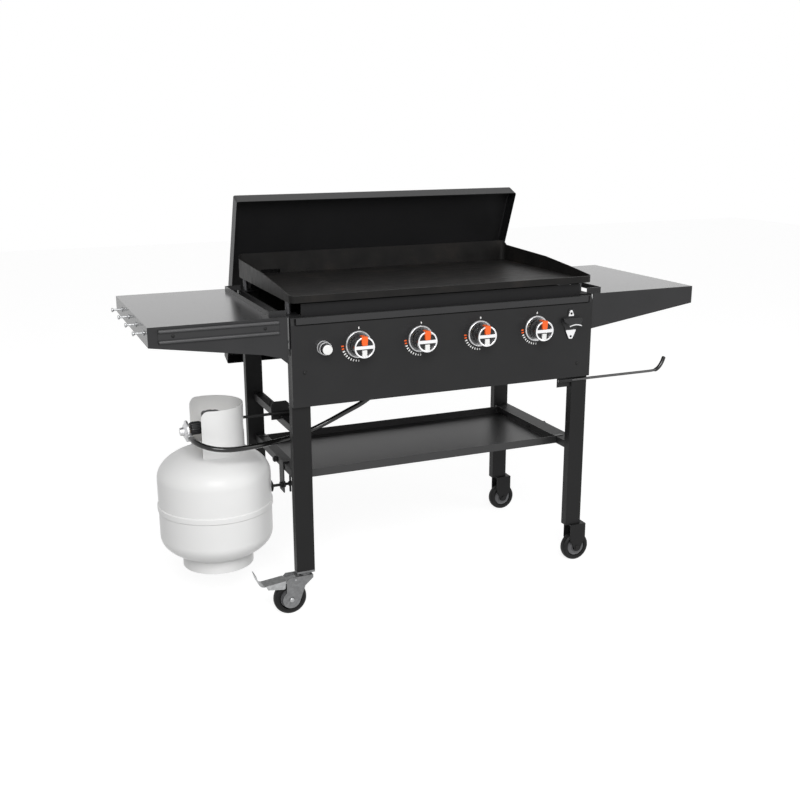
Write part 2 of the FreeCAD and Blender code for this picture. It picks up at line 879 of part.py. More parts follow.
# Tool strip: a backing plate with two rounded ribs along the left front apron
strip_level = body_top - dim("tool_strip_drop", 24.7)
strip_inner = dim("tool_strip_inner", 480)
strip_outer = dim("tool_strip_outer", 784)
strip_pitch = dim("tool_strip_pitch", 26)
rib_r = dim("tool_rib_radius", 4)
strip_thick = dim("tool_strip_thickness", 2)
strip_screws = (dim("tool_strip_screw_inner", 516), dim("tool_strip_screw_outer", 748))


def tool_strip():
    x = (-strip_outer, -strip_inner)
    y = (shelf_front - strip_thick, shelf_front)
    rise = strip_pitch / 2
    tall = rise + rib_r
    parts = [block("strip_plate", x, y, (strip_level - tall, strip_level + tall))]
    for name, side in (("upper", 1), ("lower", -1)):
        centre = (shelf_front - rib_r, strip_level + rise * side)
        parts.append(rod("strip_rib_" + name, "x", rib_r, centre, *x))
    base = union("strip_solid", parts)
    through = (shelf_front - strip_thick - over, shelf_front + over)
    holes = []
    for number, x_screw in enumerate(strip_screws):
        spot = (-x_screw, strip_level)
        holes.append(rod("strip_hole_%d" % number, "y", shank_free, spot, *through))
    return difference("tool_strip", base, holes)


hook_pitch = dim("tool_hook_pitch", 121)
hook_first = -dim("tool_hook_front", 203)
hook_z = body_top - dim("tool_hook_drop", 21.4)
hook_reach = dim("tool_hook_reach", 28.7)
hook_r = dim("tool_hook_radius", 3)
hook_root = dim("tool_hook_root", 4)
hook_bead = dim("tool_hook_bead", 4)
hook_chamfer = dim("tool_hook_chamfer", 1)


def tool_hooks():
    """Four pegs with a flange at the root and a rounded end, on the left shelf's end."""
    solids = []
    root_r = hook_r * 2.2
    bead_r = hook_r * 2
    bead_start = hook_reach - hook_bead
    profile = [
        (0, 0),
        (0, root_r),
        (-hook_root / 2, root_r),
        (-hook_root, hook_r),
        (-bead_start + hook_chamfer * 2, hook_r),
        (-bead_start, bead_r),
        (-hook_reach + hook_chamfer, bead_r),
        (-hook_reach, bead_r - hook_chamfer * 2),
        (-hook_reach, 0),
    ]
    for number in range(4):
        centre = (-shelf_end, hook_first + hook_pitch * number, hook_z)
        solids.append(turned("tool_hook_%d" % number, "x", profile, centre))
    return group("tool_hooks", solids)


# Gas train behind the front panel
manifold_r = dim("manifold_radius", 9)
manifold_y = -dim("manifold_reach", 236)
manifold_z = dim("manifold_level", 713)
manifold_half = dim("manifold_half_length", 320)
inlet_x = -dim("manifold_inlet_offset", 186)
inlet_z = dim("manifold_inlet_bottom", 682)
valve_r = dim("valve_body_radius", 13)
valve_back = -dim("valve_rear_reach", 228)
plug_r = dim("valve_plug_radius", 7)
stem_r = dim("valve_stem_radius", 4)
stem_tip = -dim("valve_stem_reach", 290)
nozzle_r = dim("nozzle_radius", 4)
nozzle_long = dim("nozzle_length", 10)
valve_floor = dim("valve_bore_floor", 6)
inlet_nut_tall = dim("inlet_nut_height", 12)
inlet_nut_rise = dim("inlet_nut_rise", 3)


def gas_manifold():
    """A closed tube with a socket above for each valve and an inlet below for the hose."""
    axis = (manifold_y, manifold_z)
    tube = rod("manifold_tube", "x", manifold_r, axis, -manifold_half, manifold_half)
    spot = (inlet_x, manifold_y)
    inlet = rod("manifold_inlet", "z", manifold_r - over, spot, inlet_z, manifold_z)
    nut_low = inlet_z + inlet_nut_rise
    nut_span = (nut_low, nut_low + inlet_nut_tall)
    nut = rod("manifold_inlet_nut", "z", manifold_r + over * 2, spot, *nut_span)
    return union("gas_manifold", [tube, inlet, nut])


def valve_body(index):
    label = "valve_body_%d" % (index + 1)
    body = new_body(label)
    x = knob_x(index)
    back = valve_back
    front_face = front + gauge
    pad_round(body, label + "_barrel", "y", front_face, back, (x, knob_level), valve_r)
    nipple_low = manifold_z + manifold_r - over
    pad_round(body, label + "_nipple", "z", nipple_low, knob_level, (x, manifold_y), valve_r / 2)
    pad_round(body, label + "_nozzle", "y", back, back + nozzle_long, (x, knob_level), nozzle_r)
    plug_hole = [(x, knob_level, plug_r + fit)]
    bore(body, label + "_bore", "y", front_face - over, back - valve_floor, plug_hole)
    saddle = [(manifold_y, manifold_z, manifold_r + press)]
    bore(body, label + "_saddle", "x", x - valve_r, x + valve_r, saddle)
    return body


def valve_stem(index):
    """The turning plug of the valve with its stem through the front panel."""
    plug_end = valve_back - valve_floor - over
    profile = [
        (plug_end, 0),
        (plug_end, plug_r),
        (front + gauge + over * 2, plug_r),
        (front + gauge, stem_r),
        (stem_tip, stem_r),
        (stem_tip, 0),
    ]
    return turned("valve_stem_%d" % (index + 1), "y", profile, (knob_x(index), 0, knob_level))


# Knobs: a deep skirted knob with a finger grip across its face
knob_face = dim("knob_face_reach", 46)
knob_r = dim("knob_radius", 29.5)
knob_base = dim("knob_base_gap", 7)
knob_push = dim("knob_push", 3)
grip_wide = dim("knob_grip_width", 12)
grip_tall = dim("knob_grip_height", 6)
knob_dish = dim("knob_dish", 2)
knob_head = dim("knob_head", 9)
knob_bevel = dim("knob_bevel", 3)
knob_rim = dim("knob_rim", 5)


def knob(index):
    label = "knob_%d" % (index + 1)
    body = new_body(label)
    face = -knob_face
    dish = face + knob_dish
    skirt_r = knob_r * 0.92
    head_back = face + knob_head
    profile = [
        (-knob_base, 0),
        (-knob_base, knob_r * 0.9),
        (-knob_base - knob_dish, skirt_r),
        (head_back + knob_bevel, skirt_r),
        (head_back, knob_r),
        (dish, knob_r),
        (face, knob_r - knob_dish),
        (face, knob_r - knob_rim),
        (dish, knob_r - knob_rim - knob_dish),
        (dish, 0),
    ]
    turn(body, label + "_turn", "y", profile)
    reach = knob_r - knob_rim - knob_dish
    half_wide = grip_wide / 2
    grip = [
        (-half_wide, -reach),
        (half_wide, -reach),
        (half_wide, reach - half_wide),
        (0, reach),
        (-half_wide, reach - half_wide),
    ]
    pad(body, label + "_grip", "y", dish - grip_tall, dish + weld, grip)
    depth = -(stem_tip - front) + knob_push + gap
    bore(body, label + "_bore", "y", -depth, 0, [(0, 0, stem_r + fit / 2)])
    return place(body, knob_x(index), front, knob_level)


bezel_r = dim("bezel_radius", 37)
bezel_high = dim("bezel_height", 5.6)
bezel_rim = dim("bezel_rim", 1.5)
bezel_roll = dim("bezel_roll", 2.5)
bezel_dish = dim("bezel_dish", 9)
bezel_floor = dim("bezel_floor", 2)
igniter_bezel_r = dim("igniter_bezel_radius", 16)
igniter_button_r = dim("igniter_button_radius", 13.5)
igniter_face = dim("igniter_face_reach", 34)
igniter_collar = dim("igniter_collar_reach", 20)
igniter_push = dim("igniter_push", 4)
button_root = dim("igniter_root", 4)
button_crown = dim("igniter_crown", 3)
button_shank = dim("igniter_shank", 16)
module_long = dim("igniter_module_length", 42)
module_nut = dim("igniter_module_nut", 6)


def control_bezels():
    """A dished ring behind each knob and a collar round the igniter button."""
    solids = []
    dish = [
        (0, knob_hole_r),
        (0, bezel_r),
        (-bezel_rim, bezel_r),
        (-bezel_high + bezel_roll / 4, bezel_r - bezel_roll),
        (-bezel_high, bezel_r - bezel_rim - bezel_roll),
        (-bezel_floor, bezel_r - bezel_dish),
        (-bezel_floor, knob_hole_r),
    ]
    for index in range(4):
        centre = (knob_x(index), front, knob_level)
        solids.append(turned("knob_bezel_%d" % (index + 1), "y", dish, centre))
    foot = bezel_rim * 2
    collar = [
        (0, igniter_shank_r + gap),
        (0, igniter_bezel_r + bezel_rim),
        (-foot, igniter_bezel_r + bezel_rim),
        (-foot - over, igniter_bezel_r),
        (-igniter_collar, igniter_bezel_r),
        (-igniter_collar, igniter_button_r + gap),
        (-foot, igniter_button_r + gap),
        (-foot, igniter_shank_r + gap),
    ]
    centre = (igniter_x, front, knob_level)
    solids.append(turned("igniter_bezel", "y", collar, centre))
    return group("control_bezels", solids)


def igniter_button():
    root_end = igniter_push + button_root
    profile = [
        (-igniter_face, 0),
        (-igniter_face, igniter_button_r - button_crown),
        (-igniter_face + over, igniter_button_r - over),
        (-igniter_face + button_crown, igniter_button_r),
        (-root_end, igniter_button_r),
        (-root_end, igniter_shank_r),
        (gauge + button_shank, igniter_shank_r),
        (gauge + button_shank, 0),
    ]
    return turned("igniter_button", "y", profile, (igniter_x, front, knob_level))


def igniter_module():
    """The spark generator behind the panel, bored for the button's shank."""
    body = new_body("igniter_module")
    face = front + gauge
    spot = (igniter_x, knob_level)
    case_r = igniter_bezel_r - button_crown
    pad_round(body, "module_case", "y", face, face + module_long, spot, case_r)
    pad_round(body, "module_nut", "y", face, face + module_nut, spot, igniter_bezel_r)
    deep = face + button_shank + igniter_push + over
    bore(body, "module_bore", "y", face - over, deep, [(*spot, igniter_shank_r + fit)])
    return body


# Burners: a straight tube with a flared inlet and two saddles on the box floor
burner_r = dim("burner_radius", 14)
burner_front = -dim("burner_front_reach", 220)
burner_back = dim("burner_rear_reach", 205)
burner_wall = dim("burner_wall", 1.5)
mouth_long = dim("burner_mouth", 6)
throat_low = dim("burner_throat_start", 34)
throat_long = dim("burner_throat_length", 26)
saddle_inset = dim("burner_saddle_inset", 28)
saddle_wide = dim("burner_saddle_width", 12)
electrode_r = dim("electrode_radius", 3)
electrode_long = dim("electrode_length", 24)
electrode_step = dim("electrode_step", 8)
electrode_inset = dim("electrode_inset", 110)
spark_long = dim("spark_wire_reach", 20)


def burner(index):
    label = "burner_%d" % (index + 1)
    body = new_body(label)
    x = knob_x(index)
    inner_r = burner_r - burner_wall
    throat_r = burner_r - burner_wall * 2
    mouth_end = burner_front + mouth_long
    throat_end = burner_front + throat_low + throat_long
    throat_back = throat_end + throat_low - throat_long / 2
    profile = [
        (burner_front, burner_r),
        (burner_front, burner_r + burner_wall),
        (mouth_end, burner_r + burner_wall),
        (burner_front + throat_low, throat_r),
        (throat_end, throat_r),
        (throat_back, burner_r),
        (burner_back, burner_r),
        (burner_back, 0),
        (burner_back - burner_wall, 0),
        (burner_back - burner_wall, inner_r),
        (throat_back, inner_r),
        (throat_end, throat_r - burner_wall),
        (burner_front + throat_low, throat_r - burner_wall),
        (mouth_end, burner_r),
    ]
    turn(body, label + "_turn", "y", profile)
    foot = box_bottom + gauge - knob_level
    top = -(inner_r + fit)
    for name, y in (("front", throat_back + saddle_inset), ("rear", burner_back - saddle_inset)):
        saddle = rectangle((-saddle_wide / 2, saddle_wide / 2), (foot, top))
        pad(body, "%s_%s_saddle" % (label, name), "y", y - gauge, y + gauge, saddle)
    return place(body, x, 0, knob_level)


def igniter_electrodes():
    """A spark rod clipped beside each burner's inlet."""
    solids = []
    wire_r = electrode_r * 0.4
    profile = [
        (-spark_long, 0),
        (-spark_long, wire_r),
        (-electrode_step, wire_r),
        (-electrode_step, electrode_r),
        (electrode_long, electrode_r),
        (electrode_long, 0),
    ]
    for index in range(4):
        x = knob_x(index) + burner_r + electrode_r + gap / 2
        centre = (x, burner_front + electrode_inset, knob_level)
        solids.append(turned("electrode_%d" % (index + 1), "y", profile, centre))
    return group("igniter_electrodes", solids)


# Bottle opener: a stamped plate with side wings and a curled lip that stands off the panel
opener_top = dim("opener_top", 790)
opener_bottom = dim("opener_bottom", 703)
opener_thick = dim("opener_thickness", 2.5)
opener_wing = dim("opener_wing", 30)
opener_lip = dim("opener_lip_reach", 25)
opener_lip_low = dim("opener_lip_bottom", 745)
opener_lip_high = dim("opener_lip_top", 765)
opener_step = dim("opener_step", 4)
opener_curl = dim("opener_curl", 8)
opener_edge = dim("opener_edge", 6)
opener_hole_high = dim("opener_upper_hole", 13)
opener_hole_low = dim("opener_lower_hole", 8)


def bottle_opener():
    body = new_body("bottle_opener")
    x = opener_x
    tab = opener_wing / 3
    shelf = opener_lip_low + opener_edge
    waist = opener_lip_low - opener_curl
    half_outline = [
        (opener_bottom, tab * 0.7),
        (waist - opener_edge, tab * 2),
        (waist, tab * 2),
        (shelf, opener_wing),
        (opener_lip_high, opener_wing),
        (opener_lip_high + opener_step, tab),
        (opener_top - opener_step, tab),
        (opener_top, tab * 0.7),
    ]
    outline = [(x + wide, level) for level, wide in half_outline]
    outline += [(x - wide, level) for level, wide in reversed(half_outline)]
    pad(body, "opener_plate", "y", front - opener_thick, front, outline)
    inner = front - opener_thick
    tip = front - opener_lip
    lip = [
        (inner, opener_lip_high),
        (inner - opener_curl, opener_lip_high),
        (tip, shelf),
        (tip, opener_lip_low),
        (tip + opener_thick, opener_lip_low),
        (tip + opener_thick, shelf - over),
        (inner - opener_curl + over, opener_lip_high - opener_thick),
        (inner, opener_lip_high - opener_thick),
    ]
    pad(body, "opener_lip", "x", x - opener_wing, x + opener_wing, lip)
    for name, side in (("left", -1), ("right", 1)):
        corner = [
            (x + side * opener_wing, tip - over),
            (x + side * opener_wing * 0.55, tip - over),
            (x + side * opener_wing, front - opener_lip * 0.6),
        ]
        span = (opener_lip_low - over, opener_lip_high + over)
        pocket(body, "opener_trim_" + name, "z", *span, corner)
    holes = [(x, opener_top - opener_hole_high, bolt_r), (x, opener_bottom + opener_hole_low, bolt_r)]
    bore(body, "opener_holes", "y", inner - over, front + over, holes)
    return body


# Towel bar: a bent rod held in a sleeve bracket beside the right front leg
bar_r = dim("towel_bar_radius", 4)
bar_z = dim("towel_bar_level", 578)
bar_reach = dim("towel_bar_reach", 686)
bar_end_x = dim("towel_bar_end", 720)
bar_end_z = dim("towel_bar_end_level", 600)
bar_tip_long = dim("towel_bar_tip_length", 22)
bar_y = legs_front - bar_r - gap
bracket_inner = dim("towel_bracket_inner", 353)
tip_wall = dim("towel_tip_wall", 2)
tip_cover = dim("towel_tip_overlap", 6)
bracket_low = dim("towel_bracket_low", 18)
bracket_high = dim("towel_bracket_high", 3)
bracket_set = dim("towel_bracket_setback", 6)
bracket_flange = dim("towel_bracket_flange", 12)
sleeve_wall = dim("towel_sleeve_wall", 2.5)
sleeve_short = dim("towel_sleeve_short", 4)


def straight(start, end):
    return Part.Wire([Part.LineSegment(start, end).toShape()])


def towel_bar():
    start = vector(bracket_inner, bar_y, bar_z)
    knee = vector(bar_reach, bar_y, bar_z)
    end = vector(bar_end_x, bar_y, bar_end_z)
    way = (end - knee).normalize()
    sleeve_root = end - way * tip_cover.number
    bar = swept("towel_bar", bent_path([start, knee, end], [bar_r.number * 6]), bar_r)
    sleeve = straight(sleeve_root, end + way * bar_tip_long.number)
    tip = swept("towel_bar_sleeve", sleeve, bar_r + tip_wall)
    core = straight(sleeve_root - way * over.number, end)
    cutter = swept("towel_bar_core", core, bar_r + press)
    return bar, difference("towel_bar_tip", tip, [cutter])


def towel_bar_bracket():
    """A plate on the leg's inner face with a sleeve round the bar."""
    body = new_body("towel_bar_bracket")
    x = (bracket_inner + gauge, leg_inner)
    low = bar_z - bar_r - bracket_low
    high = bar_z + bar_r + bracket_high
    near_face = legs_front + bracket_set
    far_face = near_face + gauge
    pad(body, "bracket_plate", "y", near_face, far_face, rectangle(x, (low, high)))
    flange = rectangle((near_face, far_face + bracket_flange), (low, high))
    pad(body, "bracket_flange", "x", leg_inner - gauge, leg_inner, flange)
    sleeve_x = (x[0], leg_inner - sleeve_short)
    web = rectangle((bar_y, near_face), (bar_z - gauge, bar_z + gauge))
    pad(body, "bracket_web", "x", *sleeve_x, web)
    pad_round(body, "bracket_sleeve", "x", *sleeve_x, (bar_y, bar_z), bar_r + sleeve_wall)
    bore(body, "bracket_bore", "x", x[0] - over, leg_inner, [(bar_y, bar_z, bar_r + press)])
    return body


# Griddle plate: a walled steel plate with a falling side wall and a rear drain
drain_x = -dim("drain_offset", 350)
drain_wide = dim("drain_width", 60)
drain_tall = dim("drain_height", 12)
chute_back = dim("chute_reach", 300)
chute_level = dim("chute_level_part", 6)
chute_low = plate_bottom - dim("chute_drop", 24)


def griddle_plate():
    body = new_body("griddle_plate")
    outline = rectangle((-plate_half, plate_half), (plate_front, plate_back))
    pad(body, "plate_block", "z", plate_bottom, plate_top, outline)
    low = plate_bottom + plate_thick
    inside_x = (-plate_half + plate_wall, plate_half - plate_wall)
    inside_y = (plate_front + plate_wall, plate_back - plate_wall)
    pocket(body, "plate_inside", "z", low, plate_top, rectangle(inside_x, inside_y))
    inner_corner = upright_within(inside_x, inside_y)
    soften(body, "plate_inner_corners", plate_corner - plate_wall, inner_corner)
    outer_corner = upright_beyond(plate_half - plate_wall)
    soften(body, "plate_corners", plate_corner, outer_corner)
    rear_inner = plate_back - plate_wall - over
    slope = [
        (plate_front - over, plate_top + over),
        (plate_front - over, lip_top),
        (plate_front, lip_top),
        (plate_front + side_knee, lip_top + side_knee_rise),
        (0, side_mid),
        (plate_back - plate_corner, side_back),
        (rear_inner, plate_top),
        (rear_inner, plate_top + over),
    ]
    pocket(body, "plate_side_slope", "x", -plate_half - over, plate_half + over, slope)
    window = (drain_x - drain_wide / 2, drain_x + drain_wide / 2)
    hole = rectangle(window, (low, low + drain_tall))
    pocket(body, "plate_drain", "y", rear_inner, plate_back + over, hole)
    chute(body, window, low)
    return body


def chute(body, window, low):
    """A sloped channel that carries the grease over the rear of the burner box."""
    wall_top = low + drain_tall
    outer = (window[0] - gauge, window[1] + gauge)
    joint = plate_back - weld
    crest = plate_back + chute_level
    side = [
        (joint, plate_bottom),
        (joint, wall_top),
        (crest, wall_top),
        (chute_back, chute_low + drain_tall),
        (chute_back, chute_low),
        (crest, plate_bottom),
    ]
    pad(body, "chute_block", "x", *outer, side)
    inside = [
        (joint, low),
        (joint, wall_top + over),
        (chute_back + over, wall_top + over),
        (chute_back + over, chute_low + gauge),
        (chute_back, chute_low + gauge),
        (crest, low),
    ]
    pocket(body, "chute_inside", "x", *window, inside)


def griddle_feet():
    solids = []
    for side in (-1, 1):
        for y in (-foot_front, foot_back):
            name = "griddle_foot_%d" % (len(solids) + 1)
            solids.append(rod(name, "z", foot_r, (side * foot_x, y), body_top, plate_bottom))
    return group("griddle_feet", solids)


# Grease cup: an open cup that hooks over a tab behind the burner box
cup_wide = dim("cup_width", 96)
cup_deep = dim("cup_depth", 50)
cup_top = chute_low - dim("cup_drop", 52)
cup_tall = dim("cup_height", 84)
cup_gauge = dim("cup_gauge", 1)
tab_reach = dim("cup_tab_reach", 6)
tab_tall = dim("cup_tab_height", 16)
hook_drop = dim("cup_hook_drop", 9.6)
cup_front = rear + gauge + tab_reach + gauge + weld


def cup_tab(body):
    """Two folds of the burner box's rear wall that carry the cup."""
    wall = rear + gauge
    tab = (drain_x - cup_wide / 4, drain_x + cup_wide / 4)
    outer = wall + tab_reach
    section = [
        (wall - weld, cup_top - tab_tall - gauge),
        (outer, cup_top - tab_tall - gauge),
        (outer, cup_top - gap),
        (outer - gauge, cup_top - gap),
        (outer - gauge, cup_top - tab_tall),
        (wall - weld, cup_top - tab_tall),
    ]
    pad(body, "box_cup_tab", "x", *tab, section)


def grease_cup():
    body = new_body("grease_cup")
    x = (drain_x - cup_wide / 2, drain_x + cup_wide / 2)
    y = (cup_front, cup_front + cup_deep)
    pad(body, "cup_block", "z", cup_top - cup_tall, cup_top, rectangle(x, y))
    inner_x = (x[0] + cup_gauge, x[1] - cup_gauge)
    inner_y = (y[0] + cup_gauge, y[1] - cup_gauge)
    cup_floor = cup_top - cup_tall + cup_gauge
    pocket(body, "cup_inside", "z", cup_floor, cup_top, rectangle(inner_x, inner_y))
    soften(body, "cup_inner_corners", cup_deep / 5 - cup_gauge, upright_within(inner_x, inner_y))
    outer_corner = upright_beyond(cup_wide / 2 - cup_gauge, drain_x)
    soften(body, "cup_corners", cup_deep / 5, outer_corner)
    hook_x = (drain_x - cup_wide / 4, drain_x + cup_wide / 4)
    hook_y = rear + tab_reach - over - cup_gauge
    section = [
        (cup_front + cup_gauge, cup_top - cup_gauge),
        (cup_front + cup_gauge, cup_top + cup_gauge),
        (hook_y, cup_top + cup_gauge),
        (hook_y, cup_top - hook_drop),
        (hook_y + cup_gauge, cup_top - hook_drop),
        (hook_y + cup_gauge, cup_top),
        (cup_front, cup_top),
        (cup_front, cup_top - cup_gauge),
    ]
    pad(body, "cup_hook", "x", *hook_x, section)
    return body


# Hard cover: a folded pan that hangs behind the plate with its inside to the front
cover_y = plate_back + cover_gap + (plate_top - cover_bottom) * tangent(cover_lean)


def hard_cover():
    """Local frame: X across, Y from the rim plane to the skin, Z up the slope."""
    body = new_body("hard_cover")
    outline = rectangle((-cover_half, cover_half), (0, cover_long))
    pad(body, "cover_block", "y", on_axis, cover_deep, outline)
    skin = cover_deep - cover_gauge
    inner_half = cover_half - cover_gauge
    inner = rectangle((-inner_half, inner_half), (cover_gauge, cover_long - cover_gauge))
    pocket(body, "cover_inside", "y", on_axis, skin, inner)
    mid_wall = (cover_gauge / 2).number

    def folded(edge, depth, near_wall):
        """Edges of the pan's corners and of its skin, inside or outside the walls."""
        ends = [vertex.Point for vertex in edge.Vertexes]
        within_x = all(abs(end.x) < cover_half.number - mid_wall for end in ends)
        within_z = all(mid_wall < end.z < cover_long.number - mid_wall for end in ends)
        at_skin = all(abs(end.y - depth.number) < near for end in ends)
        folds = at_skin or runs_along(edge, FreeCAD.Vector(0, 1, 0))
        return (within_x and within_z) == near_wall and folds

    soften(body, "cover_inner_rounding", cover_bend, lambda edge: folded(edge, skin, True))
    outer_bend = cover_bend + cover_gauge
    soften(body, "cover_rounding", outer_bend, lambda edge: folded(edge, cover_deep, False))
    body.Placement.Rotation = FreeCAD.Rotation(FreeCAD.Vector(1, 0, 0), cover_lean.number)
    return place(body, 0, cover_y, cover_bottom)


def slope_y(level, depth):
    """Y of the plane that lies depth behind the cover's rim plane, at a level."""
    rise = level - cover_bottom
    return cover_y + (depth - rise * sine(cover_lean)) / cosine(cover_lean)


def cover_hangers():
    """Two straps on the burner box's rear wall, each with an upright tongue."""
    solids = []
    for name, side in (("left", -1), ("right", 1)):
        x = mirror_span(side, hanger_x - hanger_wide / 2, hanger_x + hanger_wide / 2)
        body = new_body("cover_hanger_" + name)
        wall = rear + gauge
        section = [
            (wall, hanger_level - hanger_foot),
            (wall + strap, hanger_level - hanger_foot),
            (wall + strap, hanger_level - strap),
            (tongue_y + strap, hanger_level - strap),
            (tongue_y + strap, hanger_level + tongue_tall),
            (tongue_y, hanger_level + tongue_tall),
            (tongue_y, hanger_level),
            (wall, hanger_level),
        ]
        pad(body, "hanger_section_" + name, "x", *x, section)
        solids.append(body)
    return group("cover_hangers", solids)


def cover_keepers():
    """Two folded straps inside the cover that sit down over the hanger tongues."""
    solids = []
    seat = hanger_level + tongue_tall + gap
    top = seat + keeper_rise
    skin = cover_deep - cover_gauge
    near_face = tongue_y - strap
    for name, side in (("left", -1), ("right", 1)):
        x = mirror_span(side, hanger_x - keeper_wide / 2, hanger_x + keeper_wide / 2)
        body = new_body("cover_keeper_" + name)
        section = [
            (slope_y(top, skin), top),
            (slope_y(seat, skin), seat),
            (near_face, seat),
            (near_face, seat - keeper_drop),
            (near_face - strap, seat - keeper_drop),
            (near_face - strap, seat + strap),
            (slope_y(seat + strap, skin - strap), seat + strap),
            (slope_y(top, skin - strap), top),
        ]
        pad(body, "keeper_section_" + name, "x", *x, section)
        solids.append(body)
    return group("cover_keepers", solids)


handle_half = dim("cover_handle_half_length", 80)
handle_up = dim("cover_handle_position", 470)
handle_reach = dim("cover_handle_reach", 38)
handle_r = dim("cover_handle_radius", 6)
handle_foot = dim("cover_handle_foot", 3)


def cover_handle():
    """A bent bar on two feet, in the middle of the cover's outer face."""
    body = new_body("cover_handle")
    skin = cover_deep
    for name, side in (("left", -1), ("right", 1)):
        spot = (side * handle_half, handle_up)
        pad_round(body, "handle_foot_" + name, "y", skin, skin + handle_foot, spot, handle_r * 2)
        pad_round(body, "handle_post_" + name, "y", skin, skin + handle_reach, spot, handle_r)
    grip = (skin + handle_reach - handle_r, handle_up)
    reach = handle_half + handle_r
    pad_round(body, "handle_grip", "x", -reach, reach, grip, handle_r)
    body.Placement.Rotation = FreeCAD.Rotation(FreeCAD.Vector(1, 0, 0), cover_lean.number)
    return place(body, 0, cover_y, cover_bottom)


# Gas cylinder: welded shell with domed ends, a foot ring and an open neck
def gas_cylinder():
    def shell(label, shrink):
        radius = tank_r - shrink
        middle = rod(label + "_middle", "z", radius, (tank_x, tank_y), shell_low, shell_high)
        parts = [middle]
        for name, level, tall in (("lower", shell_low, dome_low), ("upper", shell_high, dome_high)):
            dome = doc.addObject("Part::Ellipsoid", "%s_%s_dome" % (label, name))
            bind(dome, "Radius1", tall - shrink)
            bind(dome, "Radius2", radius)
            bind(dome, "Radius3", radius)
            parts.append(place(dome, tank_x, tank_y, level))
        return parts

    spot = (tank_x, tank_y)
    outer = shell("tank_outer", on_axis)
    bead_r = (seam_half * seam_half + seam_bead * seam_bead) / (seam_bead * 2)
    bead = doc.addObject("Part::Torus", "tank_seam")
    bind(bead, "Radius1", tank_r + seam_bead - bead_r)
    bind(bead, "Radius2", bead_r)
    place(bead, tank_x, tank_y, seam_level)
    boss_low = shell_high + dome_high - boss_wall
    boss = rod("tank_neck", "z", neck_r + boss_wall, spot, boss_low, neck_top)
    foot_share = foot_ring_r / tank_r
    ring_top = shell_low - dome_low * root(1 - foot_share * foot_share) + tank_wall
    ring_wall = rod("tank_foot_wall", "z", foot_ring_r, spot, tank_foot, ring_top)
    ring_inner = foot_ring_r - tank_wall
    ring_bore = rod("tank_foot_bore", "z", ring_inner, spot, tank_foot - over, ring_top + over)
    foot = difference("tank_foot", ring_wall, [ring_bore])
    solid = union("tank_solid", outer + [bead, boss, foot])
    inner = union("tank_inside", shell("tank_inner", tank_wall))
    neck = rod("tank_neck_bore", "z", neck_r + fit, spot, shell_high, neck_top + over)
    return difference("gas_cylinder", solid, [inner, neck])


def cylinder_collar():
    """A rolled guard round the valve, open towards the outlet, with a hand hole."""
    body = new_body("cylinder_collar")
    collar_share = collar_r / tank_r
    foot = shell_high + dome_high * root(1 - collar_share * collar_share) + gap
    profile = [
        (collar_r - plate_gauge, foot + over),
        (collar_r, foot),
        (collar_r, collar_top),
        (collar_r - plate_gauge, collar_top),
    ]
    sketch = new_sketch(body, "collar_profile", "y", 0)
    polygon(sketch, profile)
    feature = body.newObject("PartDesign::Revolution", "collar_turn")
    feature.Profile = sketch
    feature.ReferenceAxis = (sketch, ["V_Axis"])
    bind(feature, "Angle", collar_open * 2)
    feature.Midplane = True
    hole_z = (hook_level - hand_hole_drop, hook_level + hook_rod_r + gap)
    hole = rectangle((-hand_hole / 2, hand_hole / 2), hole_z)
    pocket(body, "collar_hand_hole", "x", on_axis, collar_r + over, hole)
    corner_x = collar_r * cosine(collar_open)

    def is_corner(edge):
        middle = edge.CenterOfMass
        short = edge.Length < plate_gauge.number + over.number
        level = abs(middle.z - collar_top.number) < gap.number
        return short and level and middle.x < 0 and abs(middle.x - corner_x.number) < plate_gauge.number

    soften(body, "collar_corners", collar_corner, is_corner)
    return place(body, tank_x, tank_y, 0)


valve_column_r = dim("cylinder_valve_radius", 13)
outlet_r = dim("outlet_radius", 13)
outlet_reach = dim("outlet_reach", 42)
handwheel_r = dim("handwheel_radius", 27)
handwheel_tall = dim("handwheel_height", 18)
handwheel_rise = dim("handwheel_rise", 4)
notch_reach = dim("handwheel_notch_reach", 30)
notch_r = dim("handwheel_notch_radius", 6)
spindle_r = dim("spindle_radius", 5)
spindle_deep = dim("spindle_depth", 12)
shank_deep = dim("valve_shank_depth", 20)
valve_flange = dim("valve_flange", 5)
valve_top = outlet_level + dim("valve_top_rise", 18)


def cylinder_valve():
    """A brass column screwed into the neck, with its outlet to the left."""
    body = new_body("cylinder_valve")
    axis = (0, 0)
    column_low = neck_top + valve_flange
    pad_round(body, "valve_shank", "z", neck_top - shank_deep, neck_top, axis, neck_r)
    pad_round(body, "valve_flange", "z", neck_top, column_low, axis, neck_r + valve_flange)
    pad_round(body, "valve_column", "z", column_low, valve_top, axis, valve_column_r)
    pad_round(body, "valve_outlet", "x", -outlet_reach, on_axis, (0, outlet_level), outlet_r)
    spindle_hole = [(0, 0, spindle_r + fit)]
    bore(body, "valve_spindle_bore", "z", valve_top - spindle_deep, valve_top + over, spindle_hole)
    return place(body, tank_x, tank_y, 0)


def valve_handwheel():
    """A lobed handwheel on its spindle."""
    body = new_body("valve_handwheel")
    disc_low = valve_top + handwheel_rise
    disc_high = disc_low + handwheel_tall
    spindle_low = valve_top - spindle_deep + over
    pad_round(body, "handwheel_spindle", "z", spindle_low, disc_low, (0, 0), spindle_r)
    pad_round(body, "handwheel_disc", "z", disc_low, disc_high, (0, 0), handwheel_r)
    notches = round_places((0, 0), notch_reach, notch_r, 8)
    bore(body, "handwheel_grips", "z", disc_low - over, disc_high + over, notches)
    return place(body, tank_x, tank_y, 0)


